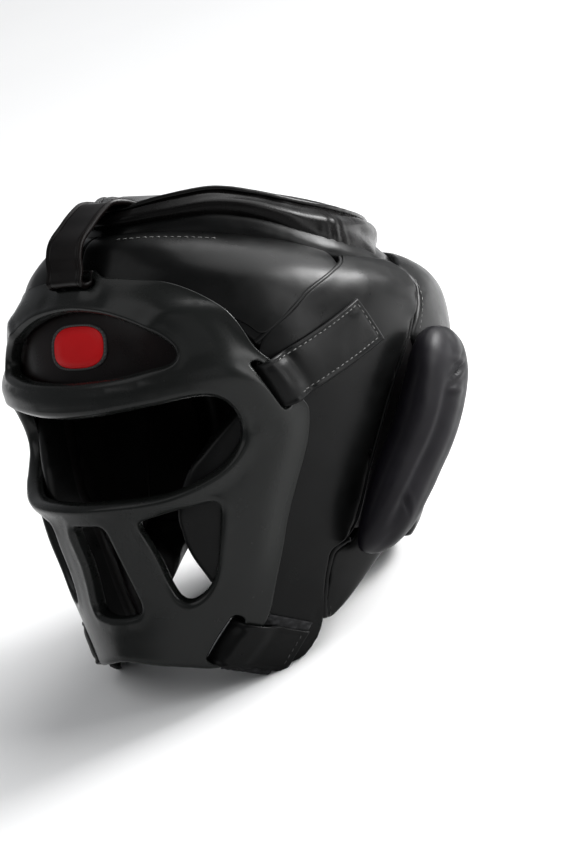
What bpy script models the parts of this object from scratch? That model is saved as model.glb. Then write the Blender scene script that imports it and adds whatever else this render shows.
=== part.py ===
"""Padded boxing headgear with a moulded face grill, standing on a flat surface as it rests by itself.

The headgear is laid out in a head frame: millimetres, the wearer faces -Y, the wearer's left is +X and the chin is
near height 0.  Every form is a patch of one of two surfaces, BODY (outer face of the padding) and GRILL (outer face of
the face grill), given by an angle round the head (0 at the face, 90 at the ear, 180 at the nape) and a height.
At the end everything is scaled to metres and leaned back onto its resting points.
"""

import math

import bmesh
import bpy
import numpy as np
from mathutils import Matrix
from mathutils.geometry import delaunay_2d_cdt

# ---------------------------------------------------------------- sizes, mm
PAD_THICKNESS = 23.0
FOREHEAD_THICKNESS = 20.0
JAW_THICKNESS = 20.0
PAD_EDGE_RADIUS = 5.0
PUFF = 3.0
GRILL_THICKNESS = 4.6
GRILL_EDGE = 1.5
GRILL_SPACING = 15.0
BROW_RELIEF = 3.4
LIP_RELIEF = 2.6
STRAP_THICKNESS = 2.0
CLEARANCE = 0.4
EAR_HALF_THICKNESS = 13.0
REST_PITCH_DEG = 29.6
REST_SHIFT_Y = -75.54
CONTACT_FLAT = 2.4

# ---------------------------------------------------------------- section tables
SECTION = ("height", "half_width", "front", "back", "front_power", "back_power")
BODY = np.array([
    (0, 72, 76, 62, 1.6, 2.2),
    (15, 79, 80, 74, 1.65, 2.2),
    (35, 85.5, 86, 86, 1.8, 2.2),
    (60, 90, 96, 98, 1.9, 2.2),
    (80, 94, 106, 106, 1.95, 2.2),
    (100, 98, 114, 113, 2.05, 2.2),
    (125, 102, 116, 120, 2.2, 2.2),
    (150, 106, 119, 126, 2.35, 2.2),
    (175, 108, 121, 131, 2.45, 2.2),
    (200, 107, 121.5, 133, 2.5, 2.2),
    (220, 102, 121, 130, 2.45, 2.2),
    (232, 93, 119, 124.5, 2.3, 2.2),
    (240, 82, 115, 113, 2.2, 2.2),
    (246, 68, 105, 96, 2.2, 2.2),
    (251, 50, 82, 70, 2.2, 2.2),
    (254, 26, 44, 36, 2.2, 2.2),
    (255, 1, 2, 2, 2.2, 2.2),
], float)
GRILL = np.array([
    (-2, 74, 84, 60, 1.6, 2.2),
    (5, 78, 87, 60, 1.6, 2.2),
    (20, 84.5, 90, 70, 1.7, 2.2),
    (40, 92, 94, 80, 1.9, 2.2),
    (60, 97, 102.5, 90, 1.95, 2.2),
    (80, 101, 114, 100, 2.0, 2.2),
    (100, 105, 122.5, 110, 2.0, 2.2),
    (120, 108, 124, 110, 2.1, 2.2),
    (140, 111.5, 126.5, 110, 2.2, 2.2),
    (160, 115, 128.5, 110, 2.4, 2.2),
    (180, 116, 129, 110, 2.5, 2.2),
    (200, 113.5, 129.5, 110, 2.5, 2.2),
    (220, 107, 129, 110, 2.4, 2.2),
    (235, 92, 126, 110, 2.3, 2.2),
    (246, 76, 119, 110, 2.2, 2.2),
], float)

# Half outlines of the grill on the wearer's left, from the middle line round to the middle line again.
OUTLINE = ("angle", "height")
WINDOW_HALF = [(0, 202), (10, 200), (17, 196), (23, 191), (28.5, 185), (31.3, 179.5), (32, 176), (30.6, 172),
               (25, 169), (19, 166), (11, 164), (0, 163)]
EYE_HALF = [(0, 143), (10, 144), (20, 147), (28, 150), (34, 153), (40, 154), (44, 150), (47, 142), (48, 134),
            (46, 125), (42, 116), (35, 107.5), (26.5, 101), (17, 98), (7, 96.5), (0, 96)]
MOUTH_HALF = [(0, 83), (5.5, 83), (6.8, 81), (8.5, 61), (12, 39), (11.2, 36.5), (5.5, 34.4), (0, 34)]
EDGE_HALF = [(0, 226), (7.4, 226), (8.6, 221.5), (19, 220), (29, 218), (37.5, 211), (44, 202), (48, 191),
             (51.5, 180), (58, 170), (64.5, 153), (67.2, 149), (68, 136), (67.5, 126), (65.5, 110), (63.2, 91),
             (62, 74), (59.5, 50), (58, 34), (53, 21), (45, 9), (37, 5.5), (27, 6), (14, 7), (0, 9)]
# Whole outlines on the wearer's left
SIDE_OPENING = [(17.5, 85), (25.5, 90), (35, 95), (40.3, 97.3), (41.8, 95), (41.8, 87), (41.2, 75), (40.2, 63),
                (38.5, 54), (35, 46.5), (30, 42.3), (26.5, 44), (23.5, 53), (21, 67), (17.6, 82)]
TEMPLE_SLOT = [(49.2, 172.2), (51.9, 173.8), (61.6, 149.6), (58.9, 147)]
JAW_SLOT = [(45.2, 36), (49.6, 33.5), (38.8, 8.2), (33.8, 10.8)]
BROW_SLOT_HALF = [(0, 220.8), (7.4, 220.8), (7.4, 214.4), (0, 214.4)]
BROW_LINE = [(0, 153), (12, 154), (22, 157), (32, 161), (40, 165), (48, 165), (60, 160)]
LIP_LINE = [(0, 92.5), (9, 93), (19, 95), (28, 98.5), (36, 104), (43, 112.5), (48.5, 122), (51, 134)]

# Pads cut by height: the angles of the front and the back edge
SIDE_PANEL = [(4, 55, 68), (15, 50, 77.5), (30, 45, 81), (50, 37.5, 80), (64, 31.5, 80.3), (72, 29.3, 81.5),
              (79, 28.4, 88), (90, 28, 92), (113, 32, 94), (125, 37, 95.5), (148, 47, 98.3), (166, 50.5, 101.5),
              (178, 51.5, 104.5), (189, 54, 107.7), (201, 61, 111), (213, 67.5, 115), (224, 77, 117.3),
              (231, 84.4, 116.5), (236.5, 88.2, 112.5)]
JAW_PANEL = [(33, 82.5, 86), (42, 81.8, 92.5), (52, 81.6, 99), (62, 81.8, 105), (70, 83, 112), (77, 90.5, 119),
             (85, 94, 124)]
BACK_PANEL = [(78, 138, 222), (86, 127.5, 232.5), (96, 122.5, 237.5), (120, 123, 237), (150, 121.5, 238.5),
              (172, 117, 243), (184, 111.5, 248.5), (192, 109.3, 250.7), (201, 112, 248), (213, 116, 244),
              (224, 118.4, 241.6), (233, 117, 243), (240, 127, 233), (245, 141, 219), (248, 158, 202)]
# Pads cut by angle: the heights of the low and the high edge
TOP_PANEL = [(0.25, 213.5, 247.5), (10, 213.5, 248.5), (20, 212.5, 249.5), (30, 209, 249.5), (40, 201, 249),
             (48, 194, 248.3), (53.5, 189, 247.5), (61, 203, 246.2), (67, 213.8, 244.8), (77, 225.3, 241.6),
             (83.6, 231.5, 239.3)]
FOREHEAD_PAD = [(-49.5, 167, 184), (-44, 162, 191.5), (-38, 159, 199), (-28, 155, 206), (-14, 151, 210),
                (0, 150, 211), (14, 151, 210), (28, 155, 206), (38, 159, 199), (44, 162, 191.5), (49.5, 167, 184)]
# Crown cushion: by angle, the heights of its side roll and of its piping, then rings from the piping to the crest
CROWN_EDGE = [(0, 251, 259), (20, 256, 267), (36, 261, 272.5), (51, 259, 270.5), (79, 251, 263), (124, 247, 261),
              (150, 249, 263), (180, 249.5, 262)]
CROWN_RINGS = [("shoulder", 0.95, 1.8), ("slope", 0.84, 2.0), ("top", 0.58, 1.2), ("crest", 0.3, 0.0)]
CROWN_ROLL = (77.0, 104.0, 98.0)
CROWN_PIPING = (66.0, 99.0, 93.0)
CROWN_CREST = 276.0
CROWN_POWER = 1.6
CROWN_TUCK = [("seam", 1.5, 2.6), ("tucked", 11.0, 4.4), ("underside", 22.0, 7.5)]
# Ear cushion: stations from its foot to its head
EAR = ("angle", "height", "half_breadth", "lift")
EAR_PAD = [(98.5, 73, 5, 9), (99.3, 78, 15, 11.5), (101, 90, 21.5, 13), (103.5, 110, 24.5, 13.4),
           (106.3, 132, 25.5, 13.6), (109.3, 154, 25.5, 13.4), (112, 174, 24.5, 12.6), (113.6, 187, 19.5, 11.4),
           (114.5, 195, 10, 10)]
# Straps: ends of the two long edges, at the slot and at the free end
TEMPLE_STRAP = {"slot": ((50.8, 171.2), (59.6, 150.2)), "end": ((83.8, 210), (94, 188.5))}
JAW_STRAP = {"slot": ((47.2, 32.2), (37.2, 11.0)), "end": ((75, 26.5), (68.5, 5.5))}
BROW_STRAP_HALF_WIDTH = 14.0

COLOURS = {
    "leather": (0.014, 0.014, 0.015, 0.42), "ear": (0.017, 0.015, 0.020, 0.48), "plastic": (0.027, 0.029, 0.028, 0.33),
    "web": (0.016, 0.013, 0.013, 0.45), "lining": (0.010, 0.008, 0.008, 0.55),
}


# ---------------------------------------------------------------- surfaces
def section(rows, v):
    """Catmull-Rom blend of the section rows at row position v."""
    n = len(rows)
    v = np.clip(np.asarray(v, float), 0, n - 1 - 1e-9)
    i = np.floor(v).astype(int)
    t = (v - i)[..., None]
    p0, p1, p2, p3 = (rows[np.clip(i + k, 0, n - 1)] for k in (-1, 0, 1, 2))
    return 0.5 * (2 * p1 + (p2 - p0) * t + (2 * p0 - 5 * p1 + 4 * p2 - p3) * t**2 + (3 * p1 - p0 - 3 * p2 + p3) * t**3)


def row_at(rows, height):
    v = np.linspace(0, len(rows) - 1, 2001)
    return np.interp(height, section(rows, v)[:, 0], v)


def raw_point(rows, angle, v):
    r = section(rows, v)
    s, c = np.abs(np.sin(angle)), np.cos(angle)
    depth = np.where(c >= 0, r[..., 2], r[..., 3])
    power = np.where(c >= 0, r[..., 4], r[..., 5])
    reach = ((s / r[..., 1]) ** power + (np.abs(c) / depth) ** power) ** (-1 / power)
    return np.stack([reach * np.sin(angle), -reach * np.cos(angle), r[..., 0]], -1)


def on_surface(rows, angle_deg, height, offset=0.0):
    """Points of a surface, moved out along its normal by offset."""
    angle, height, offset = np.broadcast_arrays(np.radians(angle_deg), np.asarray(height, float), np.asarray(offset, float))
    v = row_at(rows, height)
    e = 1e-3
    top = len(rows) - 1 - 1e-6
    across = raw_point(rows, angle + e, v) - raw_point(rows, angle - e, v)
    up = raw_point(rows, angle, np.minimum(v + e, top)) - raw_point(rows, angle, np.maximum(v - e, 0))
    normal = np.cross(across, up)
    normal /= np.linalg.norm(normal, axis=-1, keepdims=True)
    return raw_point(rows, angle, v) + normal * offset[..., None]


def spread(rows, count):
    """Rows of a table resampled to count rows, evenly by row number."""
    rows = np.asarray(rows, float)
    at = np.linspace(0, len(rows) - 1, count)
    return np.stack([np.interp(at, np.arange(len(rows)), rows[:, k]) for k in range(rows.shape[1])], -1)


# ---------------------------------------------------------------- Blender helpers
for old in list(bpy.data.objects):
    bpy.data.objects.remove(old, do_unlink=True)
PARTS = bpy.data.collections.new("boxing_headgear")
bpy.context.scene.collection.children.link(PARTS)
MATERIALS = {}


def material(kind):
    if kind not in MATERIALS:
        r, g, b, rough = COLOURS[kind]
        m = bpy.data.materials.new(kind)
        m.use_nodes = True
        shader = m.node_tree.nodes["Principled BSDF"]
        shader.inputs["Base Color"].default_value = (r, g, b, 1)
        shader.inputs["Roughness"].default_value = rough
        shader.inputs["Metallic"].default_value = 0.0
        MATERIALS[kind] = m
    return MATERIALS[kind]


def add(name, points, faces, kind):
    mesh = bpy.data.meshes.new(name)
    mesh.from_pydata([tuple(p) for p in points], [], [tuple(int(i) for i in f) for f in faces])
    mesh.materials.append(material(kind))
    obj = bpy.data.objects.new(name, mesh)
    PARTS.objects.link(obj)
    b = bmesh.new()
    b.from_mesh(mesh)
    bmesh.ops.remove_doubles(b, verts=b.verts, dist=0.01)
    bmesh.ops.recalc_face_normals(b, faces=b.faces)
    b.to_mesh(mesh)
    b.free()
    mesh.shade_smooth()
    return obj


def baked(obj):
    """The object with its modifiers made real."""
    bpy.context.view_layer.update()
    real = bpy.data.meshes.new_from_object(obj.evaluated_get(bpy.context.evaluated_depsgraph_get()))
    obj.modifiers.clear()
    obj.data = real
    return obj


def padded_sheet(name, grid, thickness, kind, edge=PAD_EDGE_RADIUS):
    """A pad: its outer face as a grid of points, made thick inwards, with rounded rims."""
    nu, nv = grid.shape[:2]
    faces = [(i * nv + j, (i + 1) * nv + j, (i + 1) * nv + j + 1, i * nv + j + 1)
             for i in range(nu - 1) for j in range(nv - 1)]
    obj = add(name, grid.reshape(-1, 3), faces, kind)
    # outward: away from the head's middle line
    b = bmesh.new()
    b.from_mesh(obj.data)
    b.faces.ensure_lookup_table()
    f = b.faces[len(b.faces) // 2]
    centre = f.calc_center_median()
    if f.normal.dot(centre - type(centre)((0, 0, 150))) < 0:
        bmesh.ops.reverse_faces(b, faces=b.faces)
    b.to_mesh(obj.data)
    b.free()
    solid = obj.modifiers.new("Thickness", "SOLIDIFY")
    solid.thickness = thickness
    solid.offset = -1
    solid.use_even_offset = False
    bevel = obj.modifiers.new("Rounded rim", "BEVEL")
    bevel.width = edge
    bevel.segments = 2
    bevel.limit_method = "ANGLE"
    bevel.angle_limit = math.radians(50)
    bevel.use_clamp_overlap = True
    return baked(obj)


def dome(u, v):
    return PUFF * ((1 - np.abs(2 * u - 1) ** 3) * (1 - np.abs(2 * v - 1) ** 3) - 1)


def pad_by_height(name, rows, thickness, kind, across=9, along=14):
    rows = spread(rows, along)
    u = np.linspace(0, 1, across)[:, None]
    v = np.linspace(0, 1, along)[None, :]
    angle = rows[None, :, 1] + (rows[None, :, 2] - rows[None, :, 1]) * u
    height = np.broadcast_to(rows[None, :, 0], angle.shape)
    return padded_sheet(name, on_surface(BODY, angle, height, dome(u, v)), thickness, kind)


def pad_by_angle(name, rows, thickness, kind, across=13, along=7, puff=1.0):
    rows = spread(rows, across)
    u = np.linspace(0, 1, across)[:, None]
    v = np.linspace(0, 1, along)[None, :]
    height = rows[:, 1, None] + (rows[:, 2, None] - rows[:, 1, None]) * v
    angle = np.broadcast_to(rows[:, 0, None], height.shape)
    return padded_sheet(name, on_surface(BODY, angle, height, puff * dome(u, v)), thickness, kind)


def mirrored(obj, name):
    """The same piece on the wearer's right."""
    twin = obj.copy()
    twin.data = obj.data.copy()
    twin.name = twin.data.name = name
    PARTS.objects.link(twin)
    twin.data.transform(Matrix.Scale(-1, 4, (1, 0, 0)))
    twin.data.flip_normals()
    return twin


# ---------------------------------------------------------------- face grill
GRILL_RADIUS = 115.0


def smooth_loop(half, spacing, mirror=True):
    """A closed outline in (arc, height) millimetres through its rows, evenly spaced."""
    pts = [(math.radians(a) * GRILL_RADIUS, h) for a, h in half]
    if mirror:
        pts = pts + [(-x, h) for x, h in reversed(pts[1:-1] if half[0][0] == half[-1][0] == 0 else pts)]
    pts = np.array(pts, float)
    n = len(pts)
    out = []
    for i in range(n):
        p0, p1, p2, p3 = (pts[(i + k) % n] for k in (-1, 0, 1, 2))
        length = np.linalg.norm(p2 - p1)
        for t in np.arange(0, 1 - 1e-6, 1 / max(1, round(length / spacing))):
            tight = min(1.0, length / 12)
            smooth = 0.5 * (2 * p1 + (p2 - p0) * t + (2 * p0 - 5 * p1 + 4 * p2 - p3) * t**2
                            + (3 * p1 - p0 - 3 * p2 + p3) * t**3)
            out.append(smooth * tight + (p1 + (p2 - p1) * t) * (1 - tight))
    return np.array(out)


def area(loop):
    x, y = loop[:, 0], loop[:, 1]
    return 0.5 * np.sum(x * np.roll(y, -1) - y * np.roll(x, -1))


def inset(loop, distance, hole):
    """The outline moved into the plate."""
    sign = (1 if area(loop) > 0 else -1) * (-1 if hole else 1)
    fore = np.roll(loop, -1, 0) - loop
    back = loop - np.roll(loop, 1, 0)
    unit = lambda d: d / np.linalg.norm(d, axis=1, keepdims=True)
    side = lambda d: np.stack([-d[:, 1], d[:, 0]], 1) * sign
    n = side(unit(fore)) + side(unit(back))
    n /= np.linalg.norm(n, axis=1, keepdims=True)
    cosine = np.clip(np.sum(n * side(unit(fore)), axis=1), 0.6, 1)
    return loop + n * (distance / cosine)[:, None]


def inside(point, loop):
    x, y = point
    a, b = loop, np.roll(loop, -1, 0)
    crossing = (a[:, 1] > y) != (b[:, 1] > y)
    with np.errstate(divide="ignore", invalid="ignore"):
        at = a[:, 0] + (y - a[:, 1]) / (b[:, 1] - a[:, 1]) * (b[:, 0] - a[:, 0])
    return np.count_nonzero(crossing & (x < at)) % 2 == 1


def nearest(point, loops):
    best = 1e9
    for loop in loops:
        a, b = loop, np.roll(loop, -1, 0)
        d = b - a
        t = np.clip(np.sum((point - a) * d, 1) / np.maximum(np.sum(d * d, 1), 1e-9), 0, 1)
        best = min(best, np.min(np.linalg.norm(a + d * t[:, None] - point, axis=1)))
    return best


def relief(angle_deg, height):
    """How far the brow bar and the rolled lip under the eyes stand out."""
    a = np.abs(angle_deg)
    brow = np.array(BROW_LINE)
    lip = np.array(LIP_LINE)
    fade = np.clip((56 - a) / 14, 0, 1)
    bar = BROW_RELIEF * np.cos(np.pi / 2 * np.clip(np.abs(height - np.interp(a, brow[:, 0], brow[:, 1])) / 14, 0, 1)) ** 2
    low = LIP_RELIEF * np.cos(np.pi / 2 * np.clip(np.abs(height - np.interp(a, lip[:, 0], lip[:, 1])) / 9, 0, 1)) ** 2
    return (bar + low) * fade


def build_grill():
    loops = [(smooth_loop(EDGE_HALF, GRILL_SPACING), False), (smooth_loop(WINDOW_HALF, GRILL_SPACING), True),
             (smooth_loop(EYE_HALF, GRILL_SPACING), True), (smooth_loop(MOUTH_HALF, GRILL_SPACING), True),
             (smooth_loop(BROW_SLOT_HALF, 60), True)]
    for whole, spacing in ((SIDE_OPENING, GRILL_SPACING), (TEMPLE_SLOT, 60), (JAW_SLOT, 60)):
        loop = smooth_loop(whole, spacing, mirror=False)
        loops += [(loop, True), (loop[::-1] * (-1, 1), True)]
    points, edges, rim = [], [], []
    for loop, hole in loops:
        for distance in (0.0, GRILL_EDGE):
            ring = inset(loop, distance, hole) if distance else loop
            start = len(points)
            points += [tuple(p) for p in ring]
            rim += [distance == 0.0] * len(ring)
            edges += [(start + i, start + (i + 1) % len(ring)) for i in range(len(ring))]
    edge_loops = [loop for loop, _ in loops]
    outline = edge_loops[0]
    for x in np.arange(-130, 131, GRILL_SPACING):
        for y in np.arange(6, 228, GRILL_SPACING):
            p = np.array((x, y))
            if inside(p, outline) and not any(inside(p, h) for h in edge_loops[1:]) and nearest(p, edge_loops) > 6:
                points.append((x, y))
                rim.append(False)
    flat, _, tris, origin, _, _ = delaunay_2d_cdt(points, edges, [], 0, 1e-5)
    flat = np.array([tuple(p) for p in flat])
    is_rim = np.array([any(rim[o] for o in os) for os in origin])
    keep = []
    for t in tris:
        centre = flat[list(t)].mean(0)
        if inside(centre, outline) and not any(inside(centre, h) for h in edge_loops[1:]):
            keep.append(tuple(t))
    angle = np.degrees(flat[:, 0] / GRILL_RADIUS)
    height = flat[:, 1]
    out = relief(angle, height)
    drop = np.where(is_rim, GRILL_EDGE, 0.0)
    outer = on_surface(GRILL, angle, height, out - drop)
    inner = on_surface(GRILL, angle, height, 0.6 * out - GRILL_THICKNESS + drop)
    n = len(flat)
    faces = [t for t in keep] + [tuple(n + i for i in reversed(t)) for t in keep]
    count = {}
    for t in keep:
        for a, b in zip(t, t[1:] + t[:1]):
            count[(a, b)] = count.get((a, b), 0) + 1
    for a, b in list(count):
        if (b, a) not in count:
            faces.append((b, a, n + a, n + b))
    return add("face_grill", np.concatenate([outer, inner]), faces, "plastic")


# ---------------------------------------------------------------- straps
def ribbon(name, left, right, lifts, kind, rows=BODY):
    """A strap as stations between two edge lines in (angle, height), each station with its lift off the surface."""
    sections = []
    for (la, lh), (ra, rh), (rows_used, lift) in zip(left, right, lifts):
        a = np.array([la, la + (ra - la) / 2, ra])
        h = np.array([lh, lh + (rh - lh) / 2, rh])
        low = on_surface(rows_used, a, h, lift)
        high = on_surface(rows_used, a, h, lift + STRAP_THICKNESS)
        sections.append(np.concatenate([low, high[::-1]]))
    return loft(name, sections, kind)


def loft(name, sections, kind):
    n = len(sections[0])
    points = np.concatenate(sections)
    faces = [(k * n + i, k * n + (i + 1) % n, (k + 1) * n + (i + 1) % n, (k + 1) * n + i)
             for k in range(len(sections) - 1) for i in range(n)]
    faces += [tuple(reversed(range(n))), tuple((len(sections) - 1) * n + i for i in range(n))]
    return add(name, points, faces, kind)


def side_strap(name, corners, bar_width, tail):
    """A tab that comes out of a slot of the grill, over the bar behind the slot, and lies on the side panel."""
    (a0, h0), (a1, h1) = corners["slot"]
    (b0, g0), (b1, g1) = corners["end"]
    stations = []
    middle = lambda pair: on_surface(BODY, (pair[0][0] + pair[1][0]) / 2, (pair[0][1] + pair[1][1]) / 2)
    length = float(np.linalg.norm(middle(corners["end"]) - middle(corners["slot"])))
    for along, on, lift in ((-tail, BODY, CLEARANCE), (0.0, BODY, CLEARANCE), (2.0, GRILL, CLEARANCE),
                            (bar_width, GRILL, CLEARANCE), (bar_width + 7, BODY, 1.6), (length * 0.55, BODY, 0.8),
                            (length * 0.8, BODY, 0.6), (length, BODY, 0.6)):
        t = along / length
        stations.append(((a0 + (b0 - a0) * t, h0 + (g0 - h0) * t), (a1 + (b1 - a1) * t, h1 + (g1 - h1) * t), (on, lift)))
    return ribbon(name, *zip(*stations), "leather")


# ---------------------------------------------------------------- build
build_grill()
pad_by_angle("forehead_pad", FOREHEAD_PAD, FOREHEAD_THICKNESS, "lining", across=17, along=7, puff=0.5)
top = pad_by_angle("top_panel_left", TOP_PANEL, PAD_THICKNESS, "leather", across=13, along=6)
mirrored(top, "top_panel_right")
side = pad_by_height("side_panel_left", SIDE_PANEL, PAD_THICKNESS, "leather", across=9, along=18)
mirrored(side, "side_panel_right")
jaw = pad_by_height("jaw_panel_left", JAW_PANEL, JAW_THICKNESS, "leather", across=6, along=8)
mirrored(jaw, "jaw_panel_right")
pad_by_height("back_panel", BACK_PANEL, PAD_THICKNESS, "leather", across=15, along=14)


def rim_height(angle):
    """Height of the upper edge of the padded wall, by angle from the face."""
    a = [r[0] for r in TOP_PANEL] + [100, 112.5] + [r[1] for r in BACK_PANEL[-4:]] + [180]
    h = [r[2] for r in TOP_PANEL] + [236.8, 237] + [r[0] for r in BACK_PANEL[-4:]] + [248]
    return np.interp(np.abs(angle), a, h)


def oval(size, angle_deg):
    a, front, back = size
    t = np.radians(angle_deg)
    b = np.where(np.cos(t) >= 0, front, back)
    return ((np.abs(np.sin(t)) / a) ** CROWN_POWER + (np.abs(np.cos(t)) / b) ** CROWN_POWER) ** (-1 / CROWN_POWER)


def build_crown(count=32):
    angle = np.linspace(-180, 180, count, endpoint=False)
    t = np.radians(angle)
    edge = np.array(CROWN_EDGE)
    roll_height = np.interp(np.abs(angle), edge[:, 0], edge[:, 1])
    piping_height = np.interp(np.abs(angle), edge[:, 0], edge[:, 2])
    rings = []
    for _, deep, inward in reversed(CROWN_TUCK):
        wall = on_surface(BODY, angle, rim_height(angle), -PUFF - deep)
        rings.append((np.hypot(wall[:, 0], wall[:, 1]) - inward, wall[:, 2]))
    roll, piping = oval(CROWN_ROLL, angle), oval(CROWN_PIPING, angle)
    rings.append((roll, roll_height))
    rings.append(((roll + piping) / 2 + 1.0, (roll_height + piping_height) / 2 + 1.0))
    rings.append((piping, piping_height))
    for _, scale, lift in CROWN_RINGS:
        rings.append((piping * scale, piping_height + (CROWN_CREST - piping_height) * (1 - scale**2.5) + lift))
    points = [np.stack([r * np.sin(t), -r * np.cos(t), np.broadcast_to(h, r.shape)], -1) for r, h in rings]
    low = [np.array([[0, 0, float(np.mean(rings[0][1])) + 3]])]
    high = [np.array([[0, 0, CROWN_CREST + 0.5]])]
    n = count
    faces = [(k * n + i, k * n + (i + 1) % n, (k + 1) * n + (i + 1) % n, (k + 1) * n + i)
             for k in range(len(rings) - 1) for i in range(n)]
    last = (len(rings) - 1) * n
    bottom, crest = len(rings) * n, len(rings) * n + 1
    faces += [(bottom, (i + 1) % n, i) for i in range(n)] + [(last + i, last + (i + 1) % n, crest) for i in range(n)]
    return add("crown_pad", np.concatenate(points + low + high), faces, "leather")


def build_ear(name, count=14):
    rows = np.array(EAR_PAD, float)
    sections = []
    for angle, height, half, lift in rows:
        centre = on_surface(BODY, angle, height, lift)
        normal = centre - on_surface(BODY, angle, height, 0.0)
        normal /= np.linalg.norm(normal)
        across = np.cross((0, 0, 1.0), normal)
        across /= np.linalg.norm(across)
        thick = EAR_HALF_THICKNESS * (half / rows[:, 2].max()) ** 0.5
        t = np.linspace(0, 2 * np.pi, count, endpoint=False)
        c, s = np.cos(t), np.sin(t)
        u = np.sign(c) * np.abs(c) ** 0.8 * half
        w = np.sign(s) * np.abs(s) ** 0.8 * thick
        sections.append(centre + u[:, None] * across + w[:, None] * normal)
    return loft(name, sections, "ear")


def build_brow_strap():
    """From behind the slot's bar, down and out through the slot, up over the bar and back onto the crown cushion."""
    inner = GRILL_THICKNESS
    at = lambda height, offset: on_surface(GRILL, 0.0, height, offset)[[1, 2]]
    body = lambda height, offset: on_surface(BODY, 0.0, height, offset)[[1, 2]]
    line = [at(225.5, -inner - 1.5), at(219.2, -inner - 1.6), at(217.2, -3.6), at(216.7, -1.2), at(217.4, 1.2),
            at(219.6, 1.8), at(224.5, 1.8),
            np.array([-131.2, 232]), np.array([-129.0, 241]), np.array([-119.5, 252]), np.array([-110.5, 260.5]),
            np.array([-105.0, 263.2]), np.array([-98.0, 264.6]), np.array([-92.0, 266.8]), np.array([-82.0, 270.7]),
            np.array([-70.0, 274.0])]
    line = np.array(line)
    ahead = np.gradient(line, axis=0)
    ahead /= np.linalg.norm(ahead, axis=1, keepdims=True)
    side = np.stack([-ahead[:, 1], ahead[:, 0]], 1) * STRAP_THICKNESS / 2
    w = BROW_STRAP_HALF_WIDTH
    sections = []
    for p, d in zip(line, side):
        corners = [(-w, p - d), (w, p - d), (w, p + d), (-w, p + d)]
        sections.append(np.array([(x, q[0], q[1]) for x, q in corners]))
    return loft("brow_strap", sections, "web")


build_crown()
ear = build_ear("ear_pad_left")
mirrored(ear, "ear_pad_right")
build_brow_strap()
strap = side_strap("temple_strap_left", TEMPLE_STRAP, 9.0, 0.0)
mirrored(strap, "temple_strap_right")
strap = side_strap("jaw_strap_left", JAW_STRAP, 14.0, 0.0)
mirrored(strap, "jaw_strap_right")

# ---------------------------------------------------------------- lean back onto the resting points
def press_flat(obj):
    """Padding that would reach below the surface ends in a flat face on it."""
    b = bmesh.new()
    b.from_mesh(obj.data)
    if min(v.co.z for v in b.verts) < 0:
        cut = bmesh.ops.bisect_plane(b, geom=b.verts[:] + b.edges[:] + b.faces[:], dist=1e-4, plane_co=(0, 0, 0),
                                     plane_no=(0, 0, 1), clear_inner=True)
        bmesh.ops.edgeloop_fill(b, edges=[e for e in cut["geom_cut"] if isinstance(e, bmesh.types.BMEdge)])
        bmesh.ops.recalc_face_normals(b, faces=b.faces)
        b.to_mesh(obj.data)
    b.free()


LEAN = Matrix.Rotation(math.radians(-REST_PITCH_DEG), 4, "X")
SOFT = ("side_panel", "jaw_panel", "back_panel", "jaw_strap")
for obj in PARTS.objects:
    obj.data.transform(LEAN)
lowest = min(v.co.z for obj in PARTS.objects for v in obj.data.vertices)
for obj in PARTS.objects:
    obj.data.transform(Matrix.Translation((0, REST_SHIFT_Y, -lowest - CONTACT_FLAT)))
    if obj.name.startswith(SOFT):
        press_flat(obj)
    obj.data.transform(Matrix.Scale(0.001, 4))
    obj.data.update()
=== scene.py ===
"""Looks of a padded boxing headgear with a moulded face grill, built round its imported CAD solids.

Forms are laid out in the head frame of the CAD (millimetres, face towards -Y, wearer's left +X, chin near height 0) by an
angle round the head and a height, and go through rest() into the row frame, leaned back onto the resting points.
"""

import math

import bmesh
import bpy
import numpy as np
from mathutils import Matrix, Vector
from mathutils.geometry import delaunay_2d_cdt


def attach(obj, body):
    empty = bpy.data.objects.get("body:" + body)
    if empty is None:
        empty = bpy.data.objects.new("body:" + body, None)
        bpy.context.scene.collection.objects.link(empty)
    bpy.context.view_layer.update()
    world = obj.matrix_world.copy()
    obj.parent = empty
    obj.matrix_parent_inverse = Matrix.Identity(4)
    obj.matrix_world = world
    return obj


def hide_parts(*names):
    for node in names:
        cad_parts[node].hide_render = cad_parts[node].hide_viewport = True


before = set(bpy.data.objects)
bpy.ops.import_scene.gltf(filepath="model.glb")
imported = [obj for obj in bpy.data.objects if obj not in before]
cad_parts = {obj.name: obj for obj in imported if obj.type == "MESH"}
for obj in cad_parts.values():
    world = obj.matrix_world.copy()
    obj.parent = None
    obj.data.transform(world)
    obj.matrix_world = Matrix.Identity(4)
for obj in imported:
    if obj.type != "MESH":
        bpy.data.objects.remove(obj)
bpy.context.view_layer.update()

# ---------------------------------------------------------------- the CAD's frame and surfaces
PITCH = math.radians(29.6)
LIFT = -19.502
SHIFT_Y = -75.54
BODY = np.array([
    (0, 72, 76, 62, 1.6, 2.2), (15, 79, 80, 74, 1.65, 2.2), (35, 85.5, 86, 86, 1.8, 2.2), (60, 90, 96, 98, 1.9, 2.2),
    (80, 94, 106, 106, 1.95, 2.2), (100, 98, 114, 113, 2.05, 2.2), (125, 102, 116, 120, 2.2, 2.2),
    (150, 106, 119, 126, 2.35, 2.2), (175, 108, 121, 131, 2.45, 2.2), (200, 107, 121.5, 133, 2.5, 2.2),
    (220, 102, 121, 130, 2.45, 2.2), (232, 93, 119, 124.5, 2.3, 2.2), (240, 82, 115, 113, 2.2, 2.2),
    (246, 68, 105, 96, 2.2, 2.2), (251, 50, 82, 70, 2.2, 2.2), (254, 26, 44, 36, 2.2, 2.2), (255, 1, 2, 2, 2.2, 2.2),
], float)
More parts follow.
